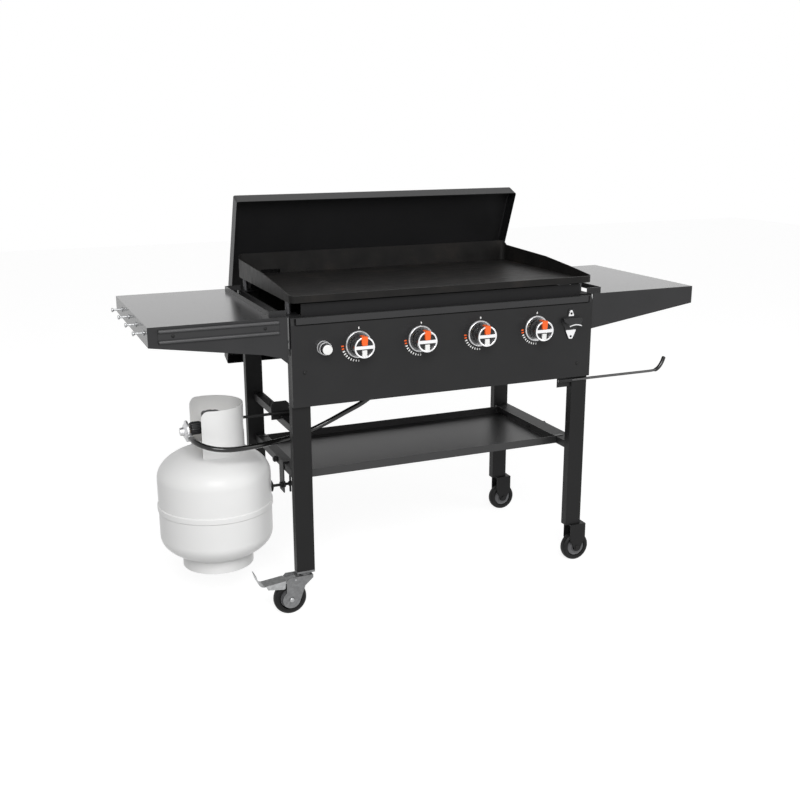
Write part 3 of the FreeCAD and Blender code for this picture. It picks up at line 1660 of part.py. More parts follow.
def round_places(centre, reach, radius, count):
    """Holes of one radius evenly spaced about a centre."""
    holes = []
    for number in range(count):
        angle = 2 * math.pi * (number + 0.5) / count
        across = centre[0] + reach * math.cos(angle)
        holes.append((across, centre[1] + reach * math.sin(angle), radius))
    return holes


# Regulator: coupling nut on the valve outlet, round diaphragm housing and hose barb
nut_r = dim("coupling_nut_radius", 18)
nut_long = dim("coupling_nut_length", 36)
regulator_r = dim("regulator_radius", 29)
regulator_shift = dim("regulator_shift", 20)
regulator_thick = dim("regulator_thickness", 17)
hose_r = dim("hose_radius", 7)
nut_rim = dim("coupling_nut_rim", 6)
nut_right = tank_x - outlet_reach + dim("coupling_nut_cover", 14)
nut_left = nut_right - nut_long
vent_r = dim("regulator_hub_radius", 12)
vent_long = dim("regulator_hub_length", 10)
vent_tip_r = dim("regulator_hub_tip_radius", 10.2)
regulator_rim = dim("regulator_rim", 2.5)
regulator_shoulder = dim("regulator_shoulder_radius", 25)
regulator_front = dim("regulator_front_radius", 17)
barb_long = dim("regulator_barb_length", 10)
barb_wall = dim("regulator_barb_wall", 2)
barb_root = dim("regulator_barb_root", 8)


def coupling_nut():
    body = new_body("coupling_nut")
    centre = (tank_y, outlet_level)
    pad_round(body, "nut_barrel", "x", nut_left, nut_right, centre, nut_r)
    grips = round_places(centre, nut_r + over, nut_r / 8, 12)
    bore(body, "nut_grips", "x", nut_left - over, nut_right - nut_rim, grips)
    socket = [(*centre, outlet_r + fit)]
    bore(body, "nut_socket", "x", tank_x - outlet_reach, nut_right + over, socket)
    return body


def regulator():
    """Two dished halves on a common rim, a vent hub, an inlet and a barb for the hose."""
    centre = (tank_y - regulator_shift, outlet_level)
    body = new_body("regulator")
    half_thick = regulator_thick / 2
    rim = regulator_rim
    profile = [
        (half_thick, 0),
        (half_thick, regulator_front),
        (rim, regulator_shoulder),
        (rim, regulator_r),
        (-rim, regulator_r),
        (-rim, regulator_shoulder),
        (-half_thick, regulator_front),
        (-half_thick, vent_r),
        (-half_thick - vent_long, vent_tip_r),
        (-half_thick - vent_long, 0),
    ]
    turn(body, "regulator_turn", "x", profile)
    pad_round(body, "regulator_inlet", "x", on_axis, half_thick, (regulator_shift, 0), vent_r)
    barb_end = -(regulator_r + barb_long)
    barb_start = -(regulator_r - barb_root)
    spot = (0, -hose_drop)
    pad_round(body, "regulator_barb", "y", barb_end, barb_start, spot, hose_r + barb_wall)
    return place(body, nut_left - half_thick, *centre)


hose_drop = dim("hose_exit_drop", 6)
hose_start_x = nut_left - regulator_thick / 2
hose_start_y = tank_y - regulator_shift - regulator_r - barb_long
hose_start_z = outlet_level - hose_drop


def hose_path():
    """Hand-set route from the regulator, past the left front leg, up to the manifold inlet."""
    start = vector(hose_start_x, hose_start_y, hose_start_z)
    end = vector(inlet_x, manifold_y, inlet_z)
    points = [
        start,
        start - FreeCAD.Vector(0, 36, 0),
        FreeCAD.Vector(-681, -186, 494),
        FreeCAD.Vector(-651, -208, 486),
        FreeCAD.Vector(-609, -214, 481),
        FreeCAD.Vector(-562, -206, 479),
        FreeCAD.Vector(-514, -190, 477),
        FreeCAD.Vector(-464, -171, 477),
        FreeCAD.Vector(-414, -155, 477),
        FreeCAD.Vector(-365, -146, 488),
        FreeCAD.Vector(-316, -150, 508),
        FreeCAD.Vector(-272, -167, 535),
        FreeCAD.Vector(-230, -192, 563),
        FreeCAD.Vector(-198, -218, 600),
        end - FreeCAD.Vector(0, 0, 42),
        end,
    ]
    runs = [(b - a).Length for a, b in zip(points, points[1:])]
    radii = []
    for before, corner, after in zip(points, points[1:], points[2:]):
        shorter = min((corner - before).Length, (after - corner).Length)
        turn_angle = (corner - before).getAngle(after - corner)
        radii.append(0.45 * shorter / math.tan(turn_angle / 2))
    print("hose runs", [round(run, 1) for run in runs])
    print("hose radii", [round(radius, 1) for radius in radii])
    return bent_path(points, radii)


def gas_hose():
    return swept("gas_hose", hose_path(), hose_r)


# Tank hook: a plate across the upper left rail with a rod through the collar's hand hole
hook_plate_wide = dim("hook_plate_width", 52)
hook_plate_tall = dim("hook_plate_height", 52)
hook_y = dim("hook_offset", -57)
hook_plate_drop = dim("hook_plate_drop", 10)
hook_bevel = dim("hook_plate_bevel", 8)
hook_foot_half = dim("hook_foot_half_length", 22)
hook_inside = dim("hook_reach_inside", 14)
hook_tip_rise = dim("hook_tip_rise", 14)


def tank_hook():
    rail_outer, rail_inner = left_rail_x
    rail_top = rail_high + rail_tall
    body = new_body("tank_hook_plate")
    x = (rail_outer - (hook_plate_wide - rail_wide), rail_inner)
    low = rail_top - hook_plate_drop
    high = low + hook_plate_tall
    y = (hook_y - plate_gauge / 2, hook_y + plate_gauge / 2)
    outline = [
        (x[0], low),
        (rail_outer - gap, low),
        (rail_outer - gap, rail_top),
        (x[1], rail_top),
        (x[1], high - hook_bevel),
        (x[1] - hook_bevel, high),
        (x[0] + hook_bevel, high),
        (x[0], high - hook_bevel),
    ]
    pad(body, "hook_face", "y", *y, outline)
    foot = rectangle((rail_outer, x[1]), (hook_y - hook_foot_half, hook_y + hook_foot_half))
    pad(body, "hook_foot", "z", rail_top, rail_top + plate_gauge, foot)
    pad_round(body, "hook_boss", "x", *x, (hook_y, hook_level), hook_rod_r + plate_gauge)
    start = vector(x[0] + hook_rod_r, hook_y, hook_level)
    tip_x = tank_x + collar_r - plate_gauge - hook_inside
    end = vector(tip_x, hook_y, hook_level)
    raised = vector(tip_x - hook_bevel, hook_y, hook_level + hook_tip_rise)
    path = bent_path([start, end, raised], [hook_rod_r.number * 2])
    return union("tank_hook", [body, swept("tank_hook_rod", path, hook_rod_r)])


# Tank stop: a plate clamped on the lower left rail with a padded screw against the cylinder
stop_y = dim("stop_offset", -65)
stop_z = dim("stop_level", 311)
stop_screw_r = dim("stop_screw_radius", 4)
stop_pad_r = dim("stop_pad_radius", 16)
stop_pad_thick = dim("stop_pad_thickness", 5)
stop_pad_bevel = dim("stop_pad_bevel", 2)
stop_plate_half = dim("stop_plate_half_width", 20)
stop_plate_low = dim("stop_plate_low", 18)
stop_top_wide = dim("stop_top_width", 16)
stop_boss_wall = dim("stop_boss_wall", 5)
stop_boss_inner = dim("stop_boss_inner", 7)
stop_bar_inset = dim("stop_bar_inset", 22)
stop_bar_half = dim("stop_bar_half_length", 24)
stop_head_half = dim("stop_head_half_length", 4.5)
stop_head_r = dim("stop_head_radius", 7)


def tank_stop_bracket():
    rail_outer = left_rail_x[0]
    rail_top = rail_low + rail_tall
    body = new_body("tank_stop_bracket")
    y = (stop_y - stop_plate_half, stop_y + stop_plate_half)
    face_x = rail_outer - plate_gauge
    face = rectangle(y, (stop_z - stop_plate_low, rail_top + plate_gauge))
    pad(body, "stop_face", "x", face_x, rail_outer, face)
    top = rectangle((face_x, rail_outer + stop_top_wide), y)
    pad(body, "stop_top", "z", rail_top, rail_top + plate_gauge, top)
    boss_r = stop_screw_r + stop_boss_wall
    boss_x = (face_x - stop_boss_wall, rail_outer + stop_boss_inner)
    pad_round(body, "stop_boss", "x", *boss_x, (stop_y, stop_z), boss_r)
    through = (boss_x[0] - over, boss_x[1] + over)
    bore(body, "stop_bore", "x", *through, [(stop_y, stop_z, stop_screw_r + fit)])
    return body


def tank_stop_screw():
    """A screw with a round pad at the cylinder and a cross bar at its other end."""
    pad_face = tank_x + tank_r + gap
    pad_mid = pad_face + stop_pad_thick
    pad_end = pad_mid + stop_pad_bevel
    bar_x = left_rail_x[0] + stop_bar_inset
    body = new_body("tank_stop_screw")
    profile = [
        (pad_face, 0),
        (pad_face, stop_pad_r - stop_pad_bevel),
        (pad_face + stop_pad_bevel, stop_pad_r),
        (pad_mid, stop_pad_r),
        (pad_end, stop_pad_r - stop_pad_bevel * 2),
        (pad_end, stop_screw_r),
        (bar_x - stop_head_half, stop_screw_r),
        (bar_x - stop_head_half, stop_head_r),
        (bar_x + stop_head_half, stop_head_r),
        (bar_x + stop_head_half, 0),
    ]
    turn(body, "stop_screw_turn", "x", profile)
    bar_span = (-stop_bar_half, stop_bar_half)
    pad_round(body, "stop_cross_bar", "z", *bar_span, (bar_x, 0), stop_screw_r - over)
    return place(body, 0, stop_y, stop_z)


# Casters on the left legs: fixed mount, swivelling fork with its axle, wheel and brake lever
caster_y = {"front": front_leg_y, "rear": rear_leg_y}
flange_low = fork_top + dim("raceway_height", 4)
race_r = dim("raceway_radius", 16)
plug_long = dim("mount_plug_length", 35)
rivet_tall = dim("kingpin_rivet_height", 5)
rivet_r = kingpin_r + dim("kingpin_rivet_rim", 3)
cheek_round = dim("cheek_round_radius", 25)
cheek_wide = dim("cheek_upper_reach", 13)
cheek_step = dim("cheek_corner_drop", 8)
cheek_turn = dim("cheek_lower_angle", 20)
crown_wide = dim("fork_crown_reach", 18)
cheek_waist_x = dim("cheek_waist_offset", 5)
cheek_waist_z = fork_top - dim("cheek_waist_drop", 28)
lever_pin_x = -dim("lever_pin_offset", 32)
lever_pin_z = fork_top - dim("lever_pin_drop", 8)
lever_pin_r = dim("lever_pin_radius", 2.5)
lever_gauge = dim("lever_gauge", 2)
lever_root_x = -(trail + cheek_wide + lever_gauge)
lever_root_z = lever_pin_z + lever_gauge
lever_knee_x = lever_root_x - dim("lever_channel_length", 56)
lever_knee_z = lever_root_z - dim("lever_channel_fall", 6.2)
lever_side = dim("lever_side_depth", 24)
toe_r = dim("lever_toe_radius", 18)
toe_long = dim("lever_toe_length", 21.5)
toe_turn = dim("lever_toe_turn", 80)
shoe_level = caster_r * 2 + dim("brake_shoe_rise", 2.6)
shoe_wide = dim("brake_shoe_width", 8)


def caster_mounts():
    """A plug inside each left leg with its flange and kingpin below."""
    solids = []
    clear = tube_wall + fit
    half_wide = leg_wide / 2
    half_deep = leg_deep / 2
    rivet_top = fork_top - fork_thick - gap
    rivet_span = (rivet_top - rivet_tall, rivet_top)
    plug_x = (-half_wide + clear, half_wide - clear)
    plug = rectangle(plug_x, (-half_deep + clear, half_deep - clear))
    flange = rectangle((-half_wide, half_wide), (-half_deep, half_deep))
    for name, y in caster_y.items():
        body = new_body("caster_mount_" + name)
        pad(body, "mount_plug_" + name, "z", leg_bottom, leg_bottom + plug_long, plug)
        pad(body, "mount_flange_" + name, "z", flange_low, leg_bottom, flange)
        pad_round(body, "mount_pin_" + name, "z", rivet_span[0], flange_low, (0, 0), kingpin_r)
        pad_round(body, "mount_rivet_" + name, "z", *rivet_span, (0, 0), rivet_r)
        solids.append(place(body, -leg_x, y, 0))
    return group("caster_mounts", solids)


def caster_fork(name, y):
    """A folded fork: raceway above, and cheeks that narrow to a round end at the axle."""
    label = "caster_fork_" + name
    body = new_body(label + "_frame")
    left = -(trail + cheek_wide)
    cheek = [
        (crown_wide, fork_top),
        (crown_wide, fork_top - cheek_step),
        (-cheek_waist_x, cheek_waist_z),
        (-trail + cheek_round * cosine(cheek_turn), caster_r - cheek_round * sine(cheek_turn)),
        (-trail, caster_r),
        (left, caster_r + cheek_wide),
        (left, fork_top - cheek_step),
        (left + cheek_step, fork_top),
    ]
    pad(body, label + "_cheeks", "y", -fork_half, fork_half, cheek)
    pad_round(body, label + "_rounds", "y", -fork_half, fork_half, (-trail, caster_r), cheek_round)
    inner_half = fork_half - fork_thick
    span = (-(trail + cheek_round + over), crown_wide + over)
    inside = rectangle(span, (on_axis, fork_top - fork_thick))
    pocket(body, label + "_inside", "y", -inner_half, inner_half, inside)
    slot = rectangle((span[0], -crown_wide), (fork_top - fork_thick - over, fork_top + over))
    pocket(body, label + "_lever_slot", "y", -inner_half, inner_half, slot)
    race = (fork_top, flange_low - gap)
    pad_round(body, label + "_race", "z", *race, (0, 0), race_r)
    pin_hole = [(0, 0, kingpin_r + fit)]
    bore(body, label + "_pin_hole", "z", fork_top - fork_thick - over, flange_low, pin_hole)
    pins = [(-trail, caster_r, axle_r + press), (lever_pin_x, lever_pin_z, lever_pin_r + fit)]
    bore(body, label + "_pins", "y", -fork_half - over, fork_half + over, pins)
    place(body, -leg_x, y, 0)
    axle = axle_bolt("caster_axle_" + name, (-leg_x - trail, y, caster_r), fork_half)
    return group(label, [body, axle])


web_rim = dim("wheel_web_rim", 2)


def wheel(label, centre, radius):
    """A moulded wheel: bored hub, thin web and rounded tread."""
    half_wide = wheel_wide / 2
    rim = radius * 0.68
    web = half_wide / 3
    half_profile = [
        (half_wide, axle_r + fit),
        (half_wide, hub_r),
        (web, hub_r + web_rim),
        (web, rim - web_rim),
        (half_wide * 0.75, rim),
        (half_wide * 0.85, radius * 0.85),
        (half_wide * 0.6, radius * 0.965),
        (half_wide / 4, radius),
    ]
    profile = [(-way, reach) for way, reach in half_profile] + half_profile[::-1]
    return turned(label, "y", profile, centre)


def brake_lever(name, y):
    """A pressed lever: a channel ahead of the fork, an upturned toe and a root on a pin."""
    label = "brake_lever_" + name
    body = new_body(label)
    run = lever_knee_x - lever_root_x
    fall = lever_knee_z - lever_root_z
    length = root(run * run + fall * fall)
    along = (run / length, fall / length)
    toe_centre = (lever_knee_x + toe_r * along[1], lever_knee_z - toe_r * along[0])
    slope = math.degrees(math.atan2(fall.number, -run.number))
    first = 270 - slope
    last = first - toe_turn.number
    inner = arc_points(toe_centre, toe_r, first, last, 5)
    outer = arc_points(toe_centre, toe_r + lever_gauge, first, last, 5)
    turned_way = math.radians(last - 90)
    reach = (toe_long * math.cos(turned_way), toe_long * math.sin(turned_way))
    plate = [(lever_root_x, lever_root_z)]
    plate += inner
    plate.append((inner[-1][0] + reach[0], inner[-1][1] + reach[1]))
    plate.append((outer[-1][0] + reach[0], outer[-1][1] + reach[1]))
    plate += outer[::-1]
    plate.append((lever_root_x, lever_root_z - lever_gauge))
    pad(body, label + "_plate", "y", -fork_half, fork_half, plate)
    side = [
        (lever_root_x, lever_root_z - over),
        (lever_knee_x, lever_knee_z - over),
        (lever_knee_x + lever_gauge * 3, lever_knee_z - lever_side / 2),
        (lever_root_x - lever_gauge * 3, lever_root_z - lever_side),
        (lever_root_x - lever_gauge, lever_root_z - lever_side + lever_gauge),
    ]
    for end, way in (("near", -1), ("far", 1)):
        span = mirror_span(way, fork_half - lever_gauge, fork_half)
        pad(body, "%s_%s_side" % (label, end), "y", *span, side)
    width = fork_half - fork_thick - gap
    shoe_x = -(trail + cheek_wide + over)
    arm = [
        (lever_pin_x + lever_gauge * 2, lever_pin_z - lever_gauge * 2),
        (lever_pin_x + lever_gauge * 2, lever_pin_z + lever_gauge * 2),
        (lever_root_x, lever_root_z),
        (lever_root_x - lever_gauge * 3, lever_root_z - over),
        (lever_root_x - lever_gauge * 3, lever_root_z - over - lever_gauge),
        (shoe_x, shoe_level),
        (shoe_x + shoe_wide, shoe_level),
    ]
    pad(body, label + "_arm", "y", -width, width, arm)
    pin = (lever_pin_x, lever_pin_z)
    pad_round(body, label + "_pin", "y", -fork_half, fork_half, pin, lever_pin_r)
    return place(body, -leg_x, y, 0)


# Fixed wheels on the right legs
wheel_x = leg_inner + bracket_shift + bracket_wide / 2
bracket_hub_r = hub_r + dim("bracket_hub_rim", 2)


def wheel_brackets():
    """An inverted U under each right leg, its cheeks tapered to the axle."""
    solids = []
    left = wheel_x - bracket_wide / 2
    right = wheel_x + bracket_wide / 2
    cheek = [
        (left, leg_bottom),
        (right, leg_bottom),
        (right, bracket_shoulder),
        (wheel_x + bracket_hub_r, wheel_r),
        (wheel_x - bracket_hub_r, wheel_r),
        (left, bracket_shoulder),
    ]
    inner = fork_half - fork_thick
    opening = rectangle((left - over, right + over), (on_axis, leg_bottom - plate_gauge))
    pins = [(wheel_x, wheel_r, axle_r + press)]
    for name, y in caster_y.items():
        body = new_body("wheel_bracket_" + name)
        pad(body, "bracket_block_" + name, "y", -fork_half, fork_half, cheek)
        hub = (wheel_x, wheel_r)
        pad_round(body, "bracket_hub_" + name, "y", -fork_half, fork_half, hub, bracket_hub_r)
        pocket(body, "bracket_inside_" + name, "y", -inner, inner, opening)
        bore(body, "bracket_pins_" + name, "y", -fork_half - over, fork_half + over, pins)
        solids.append(place(body, 0, y, 0))
    return group("wheel_brackets", solids)


# The assembly: every node of the station
nodes = []


def add(thing):
    nodes.append(thing)


for name, side in (("left_legs", -1), ("right_legs", 1)):
    add(legs(name, side))
add(left_rails())
right_rail = rail("right_rail", right_rail_x, rail_low)
add(right_rail)
add(bottom_shelf())
add(shelf_thumbscrews())
add(front_panel())
add(wind_guard())
add(firebox())
add(side_shelf("left_shelf", -1))
add(side_shelf("right_shelf", 1))
add(tool_strip())
add(tool_hooks())
add(frame_bolts())
add(gas_manifold())
add(group("burners", [burner(i) for i in range(4)]))
add(igniter_electrodes())
add(group("valve_bodies", [valve_body(i) for i in range(4)]))
for index in range(4):
    add(valve_stem(index))
    add(knob(index))
add(control_bezels())
add(igniter_button())
add(igniter_module())
add(bottle_opener())
for thing in towel_bar():
    add(thing)
add(towel_bar_bracket())
add(griddle_plate())
add(griddle_feet())
add(grease_cup())
add(hard_cover())
add(cover_handle())
add(cover_keepers())
add(cover_hangers())
add(gas_cylinder())
add(cylinder_collar())
add(cylinder_valve())
add(valve_handwheel())
add(coupling_nut())
add(regulator())
add(gas_hose())
add(tank_hook())
add(tank_stop_bracket())
add(tank_stop_screw())
add(caster_mounts())
for name, y in caster_y.items():
    add(caster_fork(name, y))
    add(wheel("caster_wheel_" + name, (-leg_x - trail, y, caster_r), caster_r))
    add(brake_lever(name, y))
add(wheel_brackets())
for name, y in caster_y.items():
    add(wheel("right_wheel_" + name, (wheel_x, y, wheel_r), wheel_r))

doc.recompute()
least_cut = 1e-6

for item in doc.Objects:
    if "Invalid" in item.State or "Error" in item.State:
        raise RuntimeError("%s could not be built: %s" % (item.Name, item.State))
    if item.TypeId == "PartDesign::Pocket":
        if item.Shape.Volume >= item.BaseFeature.Shape.Volume - least_cut:
            raise RuntimeError("%s cuts nothing" % item.Name)
for item in nodes:
    if item.Shape.isNull() or not item.Shape.isValid():
        raise RuntimeError("%s has no valid shape" % item.Label)

os.makedirs("parts", exist_ok=True)
for item in nodes:
    item.Shape.exportStep("parts/%s.step" % item.Label)
    print("%-22s %2d solids %12.0f mm3" % (item.Label, len(item.Shape.Solids), item.Shape.Volume))
print("%d nodes" % len(nodes))
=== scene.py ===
import math

import bmesh
import bpy
from mathutils import Matrix, Vector


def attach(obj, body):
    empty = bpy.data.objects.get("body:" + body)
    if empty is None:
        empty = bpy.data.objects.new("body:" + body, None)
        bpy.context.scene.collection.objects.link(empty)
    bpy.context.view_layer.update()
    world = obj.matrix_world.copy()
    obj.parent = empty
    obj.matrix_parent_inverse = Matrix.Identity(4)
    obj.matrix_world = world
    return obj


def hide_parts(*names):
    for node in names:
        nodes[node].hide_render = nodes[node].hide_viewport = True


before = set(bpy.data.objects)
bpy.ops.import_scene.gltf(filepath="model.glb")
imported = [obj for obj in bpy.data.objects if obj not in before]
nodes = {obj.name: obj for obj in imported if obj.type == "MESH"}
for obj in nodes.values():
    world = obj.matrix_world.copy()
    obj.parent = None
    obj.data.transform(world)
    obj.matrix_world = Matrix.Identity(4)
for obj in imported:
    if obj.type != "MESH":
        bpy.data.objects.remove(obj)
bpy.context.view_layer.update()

# Shapes are written in millimetres and the scene is in metres
MM = 0.001
FORWARD = (0, -1, 0)

# The photograph's camera: place in metres, angles in degrees, lens and sensor in millimetres
CAMERA_PLACE = (-1.1891, -2.7172, 1.2993)
CAMERA_YAW = 22.931
CAMERA_PITCH = 15.134
CAMERA_ROLL = -0.196
CAMERA_LENS = 45.854
SENSOR_WIDTH = 36

# Front panel: its face, the folded band at its top with the seam and the end slots, and how far
# printed marks and the seam lie behind and before the face
PANEL_Y = -262
BAND_END = 437
BAND_Z = (806.5, 823.4)
SEAM_Z = (803.4, 806.9)
SLOT_X = (441.4, 437.6)
SLOT_Z = (804.5, 823)
BAND_DEPTH = (-0.4, 1.3)
SEAM_DEPTH = (-0.2, 0.15)
PRINT_DEPTH = (-0.1, 0.12)

# On the panel: the four knobs, the igniter's button and the bottle opener
KNOB_PITCH = 178.7
KNOB_X = [(place - 1.5) * KNOB_PITCH for place in range(4)]
KNOB_Z = 742.5
KNOB_FRONT = -309.5
IGNITER_X = -365
IGNITER_FRONT = -296
OPENER_X = 380.6
OPENER_SHEET = 2.5
OPENER_MOUTH = 25
OPENER_SCREW_Z = (777, 711)

# Tool strip on the left shelf: two half-round ribs and two screws
RIB_Y = -257.3
RIB_RADIUS = 4.2
RIB_BACK_Y = -257.5
RIB_BACK_HALF = 3.9
RIB_Z = (789.7, 815.7)
RIB_ENDS = (-781.5, -482.5)
STRIP_SCREW_X = (-748, -516)
STRIP_SCREW_Y = -255.3
STRIP_SCREW_Z = 802.7

# Cylinder: middle of its rolled joint, and where the hand nut meets the valve
TANK_JOINT = (-622.95, -57, 285)
COUPLING = (-651, -57, 505)

# Wheels: axle places, and how much larger than the fixed wheels' hubs the casters' are
CASTER_X = -470.6
CASTER_Z = 46
CASTER_GROWTH = 1.045
FIXED_X = 441.2
FIXED_Z = 44
FRONT_Y = -236.3
REAR_Y = 235.3
FORK_HALF = 23
HUB_HOLE = 12.9
WHEELS = {
    "caster_roller_front": (CASTER_X, FRONT_Y, CASTER_Z, CASTER_GROWTH),
    "caster_roller_rear": (CASTER_X, REAR_Y, CASTER_Z, CASTER_GROWTH),
    "right_roller_front": (FIXED_X, FRONT_Y, FIXED_Z, 1.0),
    "right_roller_rear": (FIXED_X, REAR_Y, FIXED_Z, 1.0),
}

# Towel bar: the plane it lies in, and its line and its sleeve's line as (x, z)
BAR_Y = -253.3
BAR_RADIUS = 4
BAR_LINE = [(353, 578), (640, 578), (684, 578), (700, 582), (711, 594), (717, 606), (719, 611)]
SLEEVE_RADIUS = 6
SLEEVE_LINE = [
    (690, 578.6), (692, 579.2), (702, 583.6), (711.5, 594.5), (717.6, 606), (720.4, 614), (721.4, 617),
    (722, 618.6),
]

# Hose: the same route as the solid, from the regulator to the manifold
HOSE_RADIUS = 7
HOSE_START = (-695.5, -116, 499)
HOSE_ROUTE = [
    (-695.5, -152, 499), (-681, -186, 494), (-651, -208, 486), (-609, -214, 481), (-562, -206, 479),
    (-514, -190, 477), (-464, -171, 477), (-414, -155, 477), (-365, -146, 488), (-316, -150, 508),
    (-272, -167, 535), (-230, -192, 563), (-198, -218, 600), (-186, -236, 640),
]
HOSE_END = (-186, -236, 682)

# Materials: the values that noise mostly keeps between, the upward part of a face's normal from
# upright to level, the metallic value of bare metal, and what every coat and every grain share
NOISE_RANGE = (0.3, 0.7)
LEAN_RANGE = (0.2, 0.8)
METAL = 1.0
COAT_ROUGHNESS = 0.2
GRAIN_STRENGTH = 0.35

# Studio: the lamps as name, place, target, size and watts, with lengths in metres
LAMPS = (
    ("key", (-1.2, -3.6, 2.9), (0, 0, 0.6), 2.0, 146),
    ("fill", (3.0, -2.6, 2.2), (0, 0, 0.6), 2.4, 28),
    ("top", (0, 0.6, 3.8), (0, 0, 0.8), 2.6, 12),
)
FLOOR_HALF = 9
FLOOR_GREY = 0.3
# How strongly floor and world glow: as light on the object, and where they are seen or mirrored
FLOOR_GLOW = (0.24, 0.86)
WORLD_GLOW = (0.29, 1.0)
WHITE = (1, 1, 1, 1)


def camera():
    """The camera that took the photograph."""
    yaw = math.radians(CAMERA_YAW)
    pitch = math.radians(CAMERA_PITCH)
    roll = math.radians(CAMERA_ROLL)
    forward = Vector((math.sin(yaw) * math.cos(pitch), math.cos(yaw) * math.cos(pitch), -math.sin(pitch)))
    right = Vector((math.cos(yaw), -math.sin(yaw), 0))
    up = right.cross(forward)
    turned_right = right * math.cos(roll) + up * math.sin(roll)
    turned_up = up * math.cos(roll) - right * math.sin(roll)
    data = bpy.data.cameras.new("camera")
    data.lens = CAMERA_LENS
    data.sensor_width = SENSOR_WIDTH
    made = bpy.data.objects.new("camera", data)
    turn = Matrix([list(row) for row in zip(turned_right, turned_up, -forward)])
    made.matrix_world = Matrix.Translation(CAMERA_PLACE) @ turn.to_4x4()
    bpy.context.scene.collection.objects.link(made)
    bpy.context.scene.camera = made


# Node materials
def new_material(name):
    made = bpy.data.materials.new(name)
    made.use_nodes = True
    tree = made.node_tree
    return made, tree, tree.nodes["Principled BSDF"]


def texture_space(tree, stretch=(1, 1, 1)):
    """The piece's own coordinates, squeezed by the factors given."""
    where = tree.nodes.new("ShaderNodeTexCoord")
    scaled = tree.nodes.new("ShaderNodeMapping")
    scaled.inputs["Scale"].default_value = stretch
    tree.links.new(where.outputs["Object"], scaled.inputs["Vector"])
    return scaled.outputs["Vector"]


def noise(tree, space, scale, detail, rough=0.5):
    made = tree.nodes.new("ShaderNodeTexNoise")
    made.inputs["Scale"].default_value = scale
    made.inputs["Detail"].default_value = detail
    made.inputs["Roughness"].default_value = rough
    tree.links.new(space, made.inputs["Vector"])
    return made.outputs["Fac"]


def ramp(tree, source, stops):
    """Colours at places between 0 and 1, looked up by the source's value."""
    made = tree.nodes.new("ShaderNodeValToRGB")
    ramp_stops = made.color_ramp.elements
    while len(ramp_stops) < len(stops):
        ramp_stops.new(0.5)
    for element, (place, colour) in zip(ramp_stops, stops):
        element.position = place
        element.color = (*colour, 1)
    tree.links.new(source, made.inputs["Fac"])
    return made.outputs["Color"]


def mapped(tree, value, before, after):
    """The value carried over from one range of numbers to another."""
    made = tree.nodes.new("ShaderNodeMapRange")
    for label, number in zip(("From Min", "From Max", "To Min", "To Max"), (*before, *after)):
        made.inputs[label].default_value = number
    tree.links.new(value, made.inputs["Value"])
    return made.outputs["Result"]


def worked_out(tree, operation, *values):
    """The result of a sum, a maximum or an absolute value."""
    made = tree.nodes.new("ShaderNodeMath")
    made.operation = operation
    for socket, value in zip(made.inputs, values):
        tree.links.new(value, socket)
    return made.outputs[0]


def bump(tree, shader, heights, edge=0.0):
    """Stacked bumps from (height source, strength, distance) over softened edges."""
    last = None
    if edge:
        softened = tree.nodes.new("ShaderNodeBevel")
        softened.samples = 4
        softened.inputs["Radius"].default_value = edge
        last = softened.outputs["Normal"]
    for source, strength, distance in heights:
        made = tree.nodes.new("ShaderNodeBump")
        made.inputs["Strength"].default_value = strength
        made.inputs["Distance"].default_value = distance
        tree.links.new(source, made.inputs["Height"])
        if last is not None:
            tree.links.new(last, made.inputs["Normal"])
        last = made.outputs["Normal"]
    tree.links.new(last, shader.inputs["Normal"])


def added_on_sides(tree, value, more):
    """The value, raised on faces that stand upright in the piece's own axes."""
    where = tree.nodes.new("ShaderNodeTexCoord")
    parts = tree.nodes.new("ShaderNodeSeparateXYZ")
    tree.links.new(where.outputs["Normal"], parts.inputs["Vector"])
    lean = worked_out(tree, "ABSOLUTE", parts.outputs["Z"])
    extra = mapped(tree, lean, LEAN_RANGE, (more, 0.0))
    return worked_out(tree, "ADD", value, extra)


def tint(colour, factor):
    return tuple(min(1.0, channel * factor) for channel in colour)


def surface(name, colour, rough, metallic=0.0, grain=900, depth=0.0002, vary=0.12, stretch=(1, 1, 1),
            patch=9, coat=0.0, coat_ior=1.5, shine=0.5, edge=0.0, duller_sides=0.0):
    """A finish with fine grain, slow colour drift and uneven gloss, duller on upright faces if asked."""
    made, tree, shader = new_material(name)
    space = texture_space(tree, stretch)
    plain = texture_space(tree)
    drift = noise(tree, plain, patch, 4)
    fine = noise(tree, space, grain, 2)
    stops = list(zip(NOISE_RANGE, (tint(colour, 1 - vary), tint(colour, 1 + vary))))
    tree.links.new(ramp(tree, drift, stops), shader.inputs["Base Color"])
    gloss = mapped(tree, fine, NOISE_RANGE, rough)
    if duller_sides:
        gloss = added_on_sides(tree, gloss, duller_sides)
    tree.links.new(gloss, shader.inputs["Roughness"])
    shader.inputs["Metallic"].default_value = metallic
    shader.inputs["Coat Weight"].default_value = coat
    shader.inputs["Coat Roughness"].default_value = COAT_ROUGHNESS
    shader.inputs["Coat IOR"].default_value = coat_ior
    shader.inputs["Specular IOR Level"].default_value = shine
    bump(tree, shader, [(fine, GRAIN_STRENGTH, depth)], edge)
    return made


